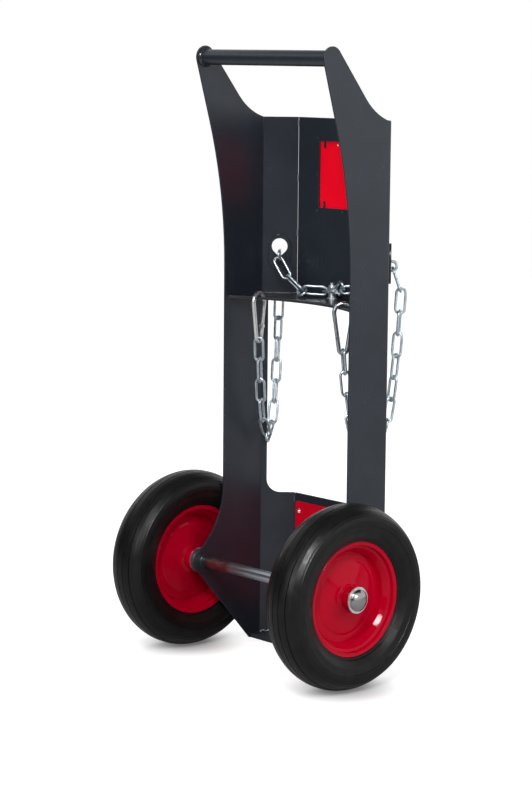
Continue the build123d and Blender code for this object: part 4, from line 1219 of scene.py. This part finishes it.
@dataclass
class Studio:
    """White floor, soft lamps, dark flags that only reflections show, and the camera."""

    camera_place: Corner = (3.67402, -3.39365, 1.34077)
    camera_right: Corner = (0.671238, 0.741191, 0.008698)
    camera_up: Corner = (-0.116577, 0.093972, 0.988726)
    lens: float = 104.1
    floor_size: float = 14.0
    wheel_foot: Point = (0.2554, -0.06)
    # Painted shadow: the floor's lift near the wheel feet is lower than elsewhere, which darkens the floor
    # round where the wheels stand
    foot_lift: float = 0.14
    floor_lift: float = 0.76
    far_lift: float = 0.95
    foot_span: Point = (0.03, 0.15)
    far_span: Point = (0.8, 2.4)
    room_light: float = 0.26
    floor_grey: float = 0.55
    floor_roughness: float = 0.9
    cloth: Colour = (0.03, 0.03, 0.033)
    cloth_roughness: float = 0.95

    def build(self) -> None:
        """Set up the floor, world, lamps, flags and camera."""
        self.floor()
        self.world()
        self.lamp("key_strip", (1.94, -2.1, 2.65), (0.2, 0.0, 0.4), (0.36, 1.4), 55, mirrored=False)
        self.lamp("key_streak", (1.94, -2.1, 2.65), (0.27, 0.0, 0.12), (0.60, 1.4), 9.5,
                  lighting=False, spread=40)
        self.lamp("glint_box", (3.1, 0.0, 1.25), (0.3, -0.06, 0.2), (0.42, 0.42), 17, lighting=False)
        self.lamp("back_strip", (0.5, -3.4, 1.7), (0.0, 0.0, 0.9), (0.5, 1.6), 30)
        self.lamp("side_box", (3.3, 1.2, 2.1), (0.0, 0.0, 0.7), (2.8, 2.8), 55, mirrored=False)
        self.lamp("top_box", (-1.2, 0.2, 3.2), (0.0, 0.0, 0.5), (3.0, 3.0), 55, mirrored=False)
        self.flag("left_flag", (-3.0, -2.6, 1.3), (math.pi / 2, 0, math.radians(-48)), (6.5, 2.6))
        self.flag("front_flag", (4.4, -4.2, 1.4), (math.pi / 2, 0, math.radians(46)), (6.0, 2.8))
        self.flag("back_flag", (0.6, -5.2, 1.4), (math.pi / 2, 0, 0), (6.0, 2.8))
        self.flag("top_flag", (1.0, 0.0, 4.2), (0, 0, 0), (9.0, 12.0))
        self.camera()
        bpy.context.scene.view_settings.view_transform = "Standard"

    def floor(self) -> None:
        """Large white floor that keeps the soft shadow, with a painted shadow where its lift drops near the
        wheel feet.
        """
        floor = add_shape("floor", bpy.ops.mesh.primitive_plane_add, size=self.floor_size,
                          location=(0, 0, 0))
        paper = Shader("floor_paper")
        paper.constant(Base_Color=(self.floor_grey,) * 3, Roughness=self.floor_roughness,
                       Specular_IOR_Level=0.0, Emission_Color=(1.0, 1.0, 1.0))
        tree = paper.tree
        x, y = self.wheel_foot
        nearest = math_node(tree, "MINIMUM", *(paper.distance((side.value * x, y, 0.0)) for side in Side))
        # Painted shadow: less lift within the first span from the wheel feet darkens the floor there
        lift_with_foot_shadow = map_range(tree, nearest, self.foot_span, (self.foot_lift, self.floor_lift), "SMOOTHSTEP")
        outer = paper.distance((0.0, 0.0, 0.0))
        far = map_range(tree, outer, self.far_span, (0.0, self.far_lift - self.floor_lift), "SMOOTHSTEP")
        seen = paper.nodes.new("ShaderNodeLightPath").outputs["Is Camera Ray"]
        lift = math_node(tree, "MULTIPLY", seen, math_node(tree, "ADD", lift_with_foot_shadow, far))
        paper.drive("Emission Strength", lift)
        floor.data.materials.append(paper.material)

    def world(self) -> None:
        """White surroundings, dimmer as a light than in the view and in reflections."""
        world = bpy.data.worlds.new("white_room")
        world.use_nodes = True
        bpy.context.scene.world = world
        tree = world.node_tree
        background = tree.nodes["Background"]
        background.inputs["Color"].default_value = (1, 1, 1, 1)
        path = tree.nodes.new("ShaderNodeLightPath")
        seen = path.outputs["Is Camera Ray"]
        for name in ("Is Glossy Ray", "Is Transmission Ray"):
            seen = math_node(tree, "MAXIMUM", seen, path.outputs[name])
        strength = map_range(tree, seen, (0.0, 1.0), (self.room_light, 1.0))
        tree.links.new(strength, background.inputs["Strength"])

    def flag(self, name: str, place: Corner, turn: Corner, size: Point) -> None:
        """One dark board that shades reflections and is not seen itself.

        Args:
            name: Name of the board.
            place: Its middle.
            turn: Its rotation from lying flat.
            size: Its width and height.
        """
        board = add_shape(name, bpy.ops.mesh.primitive_plane_add, size=1, location=place, rotation=turn)
        board.scale = (*size, 1)
        board.visible_camera = False
        board.visible_diffuse = False
        board.visible_transmission = False
        board.visible_shadow = False
        cloth = Shader(f"{name}_cloth")
        cloth.constant(Base_Color=self.cloth, Roughness=self.cloth_roughness, Specular_IOR_Level=0.0)
        board.data.materials.append(cloth.material)

    def lamp(self, name: str, place: Corner, target: Corner, size: Point, power: float,
             mirrored: bool = True, lighting: bool = True, spread: float = 180) -> None:
        """One soft box.

        Args:
            name: Name of the lamp.
            place: Its middle.
            target: Point that it faces.
            size: Its width and height.
            power: Its power in watts.
            mirrored: Whether it shows in reflections.
            lighting: Whether it lights what it faces.
            spread: Angle of its beam in degrees, less than 180 behind a grid.
        """
        data = bpy.data.lights.new(name, "AREA")
        data.shape = "RECTANGLE"
        data.size, data.size_y = size
        data.energy = power
        data.spread = math.radians(spread)
        lamp = bpy.data.objects.new(name, data)
        lamp.visible_glossy = mirrored
        lamp.visible_diffuse = lighting
        bpy.context.scene.collection.objects.link(lamp)
        facing = Vector(target) - Vector(place)
        turn = facing.to_track_quat("-Z", "Y").to_matrix().to_4x4()
        lamp.matrix_world = Matrix.Translation(place) @ turn

    def camera(self) -> None:
        """Camera at the photograph's viewing angle."""
        data = bpy.data.cameras.new("camera")
        data.lens = self.lens
        camera = bpy.data.objects.new("camera", data)
        bpy.context.scene.collection.objects.link(camera)
        right = Vector(self.camera_right)
        up = Vector(self.camera_up)
        turn = Matrix((right, up, right.cross(up))).transposed().to_4x4()
        camera.matrix_world = Matrix.Translation(self.camera_place) @ turn
        bpy.context.scene.camera = camera


def main() -> None:
    """Build each sub-assembly in order and note the sizes."""
    logging.basicConfig(level=logging.INFO, format="%(name)s: %(message)s")
    assemblies = [
        SheetBody(),
        WeldRings("handle_welds", bar_r=16.85 * MM, leg=5.0 * MM, place=(-63.5 * MM, 1325.0 * MM)),
        WeldRings("axle_welds", bar_r=12.55 * MM, leg=2.5 * MM, place=(-60.0 * MM, 200.0 * MM)),
        Wheel(Side.LEFT),
        Wheel(Side.RIGHT),
        Ironmongery(),
    ]
    for assembly in assemblies:
        assembly.build()
        assembly.dress()
    Studio().build()


if __name__ == "__main__":
    main()
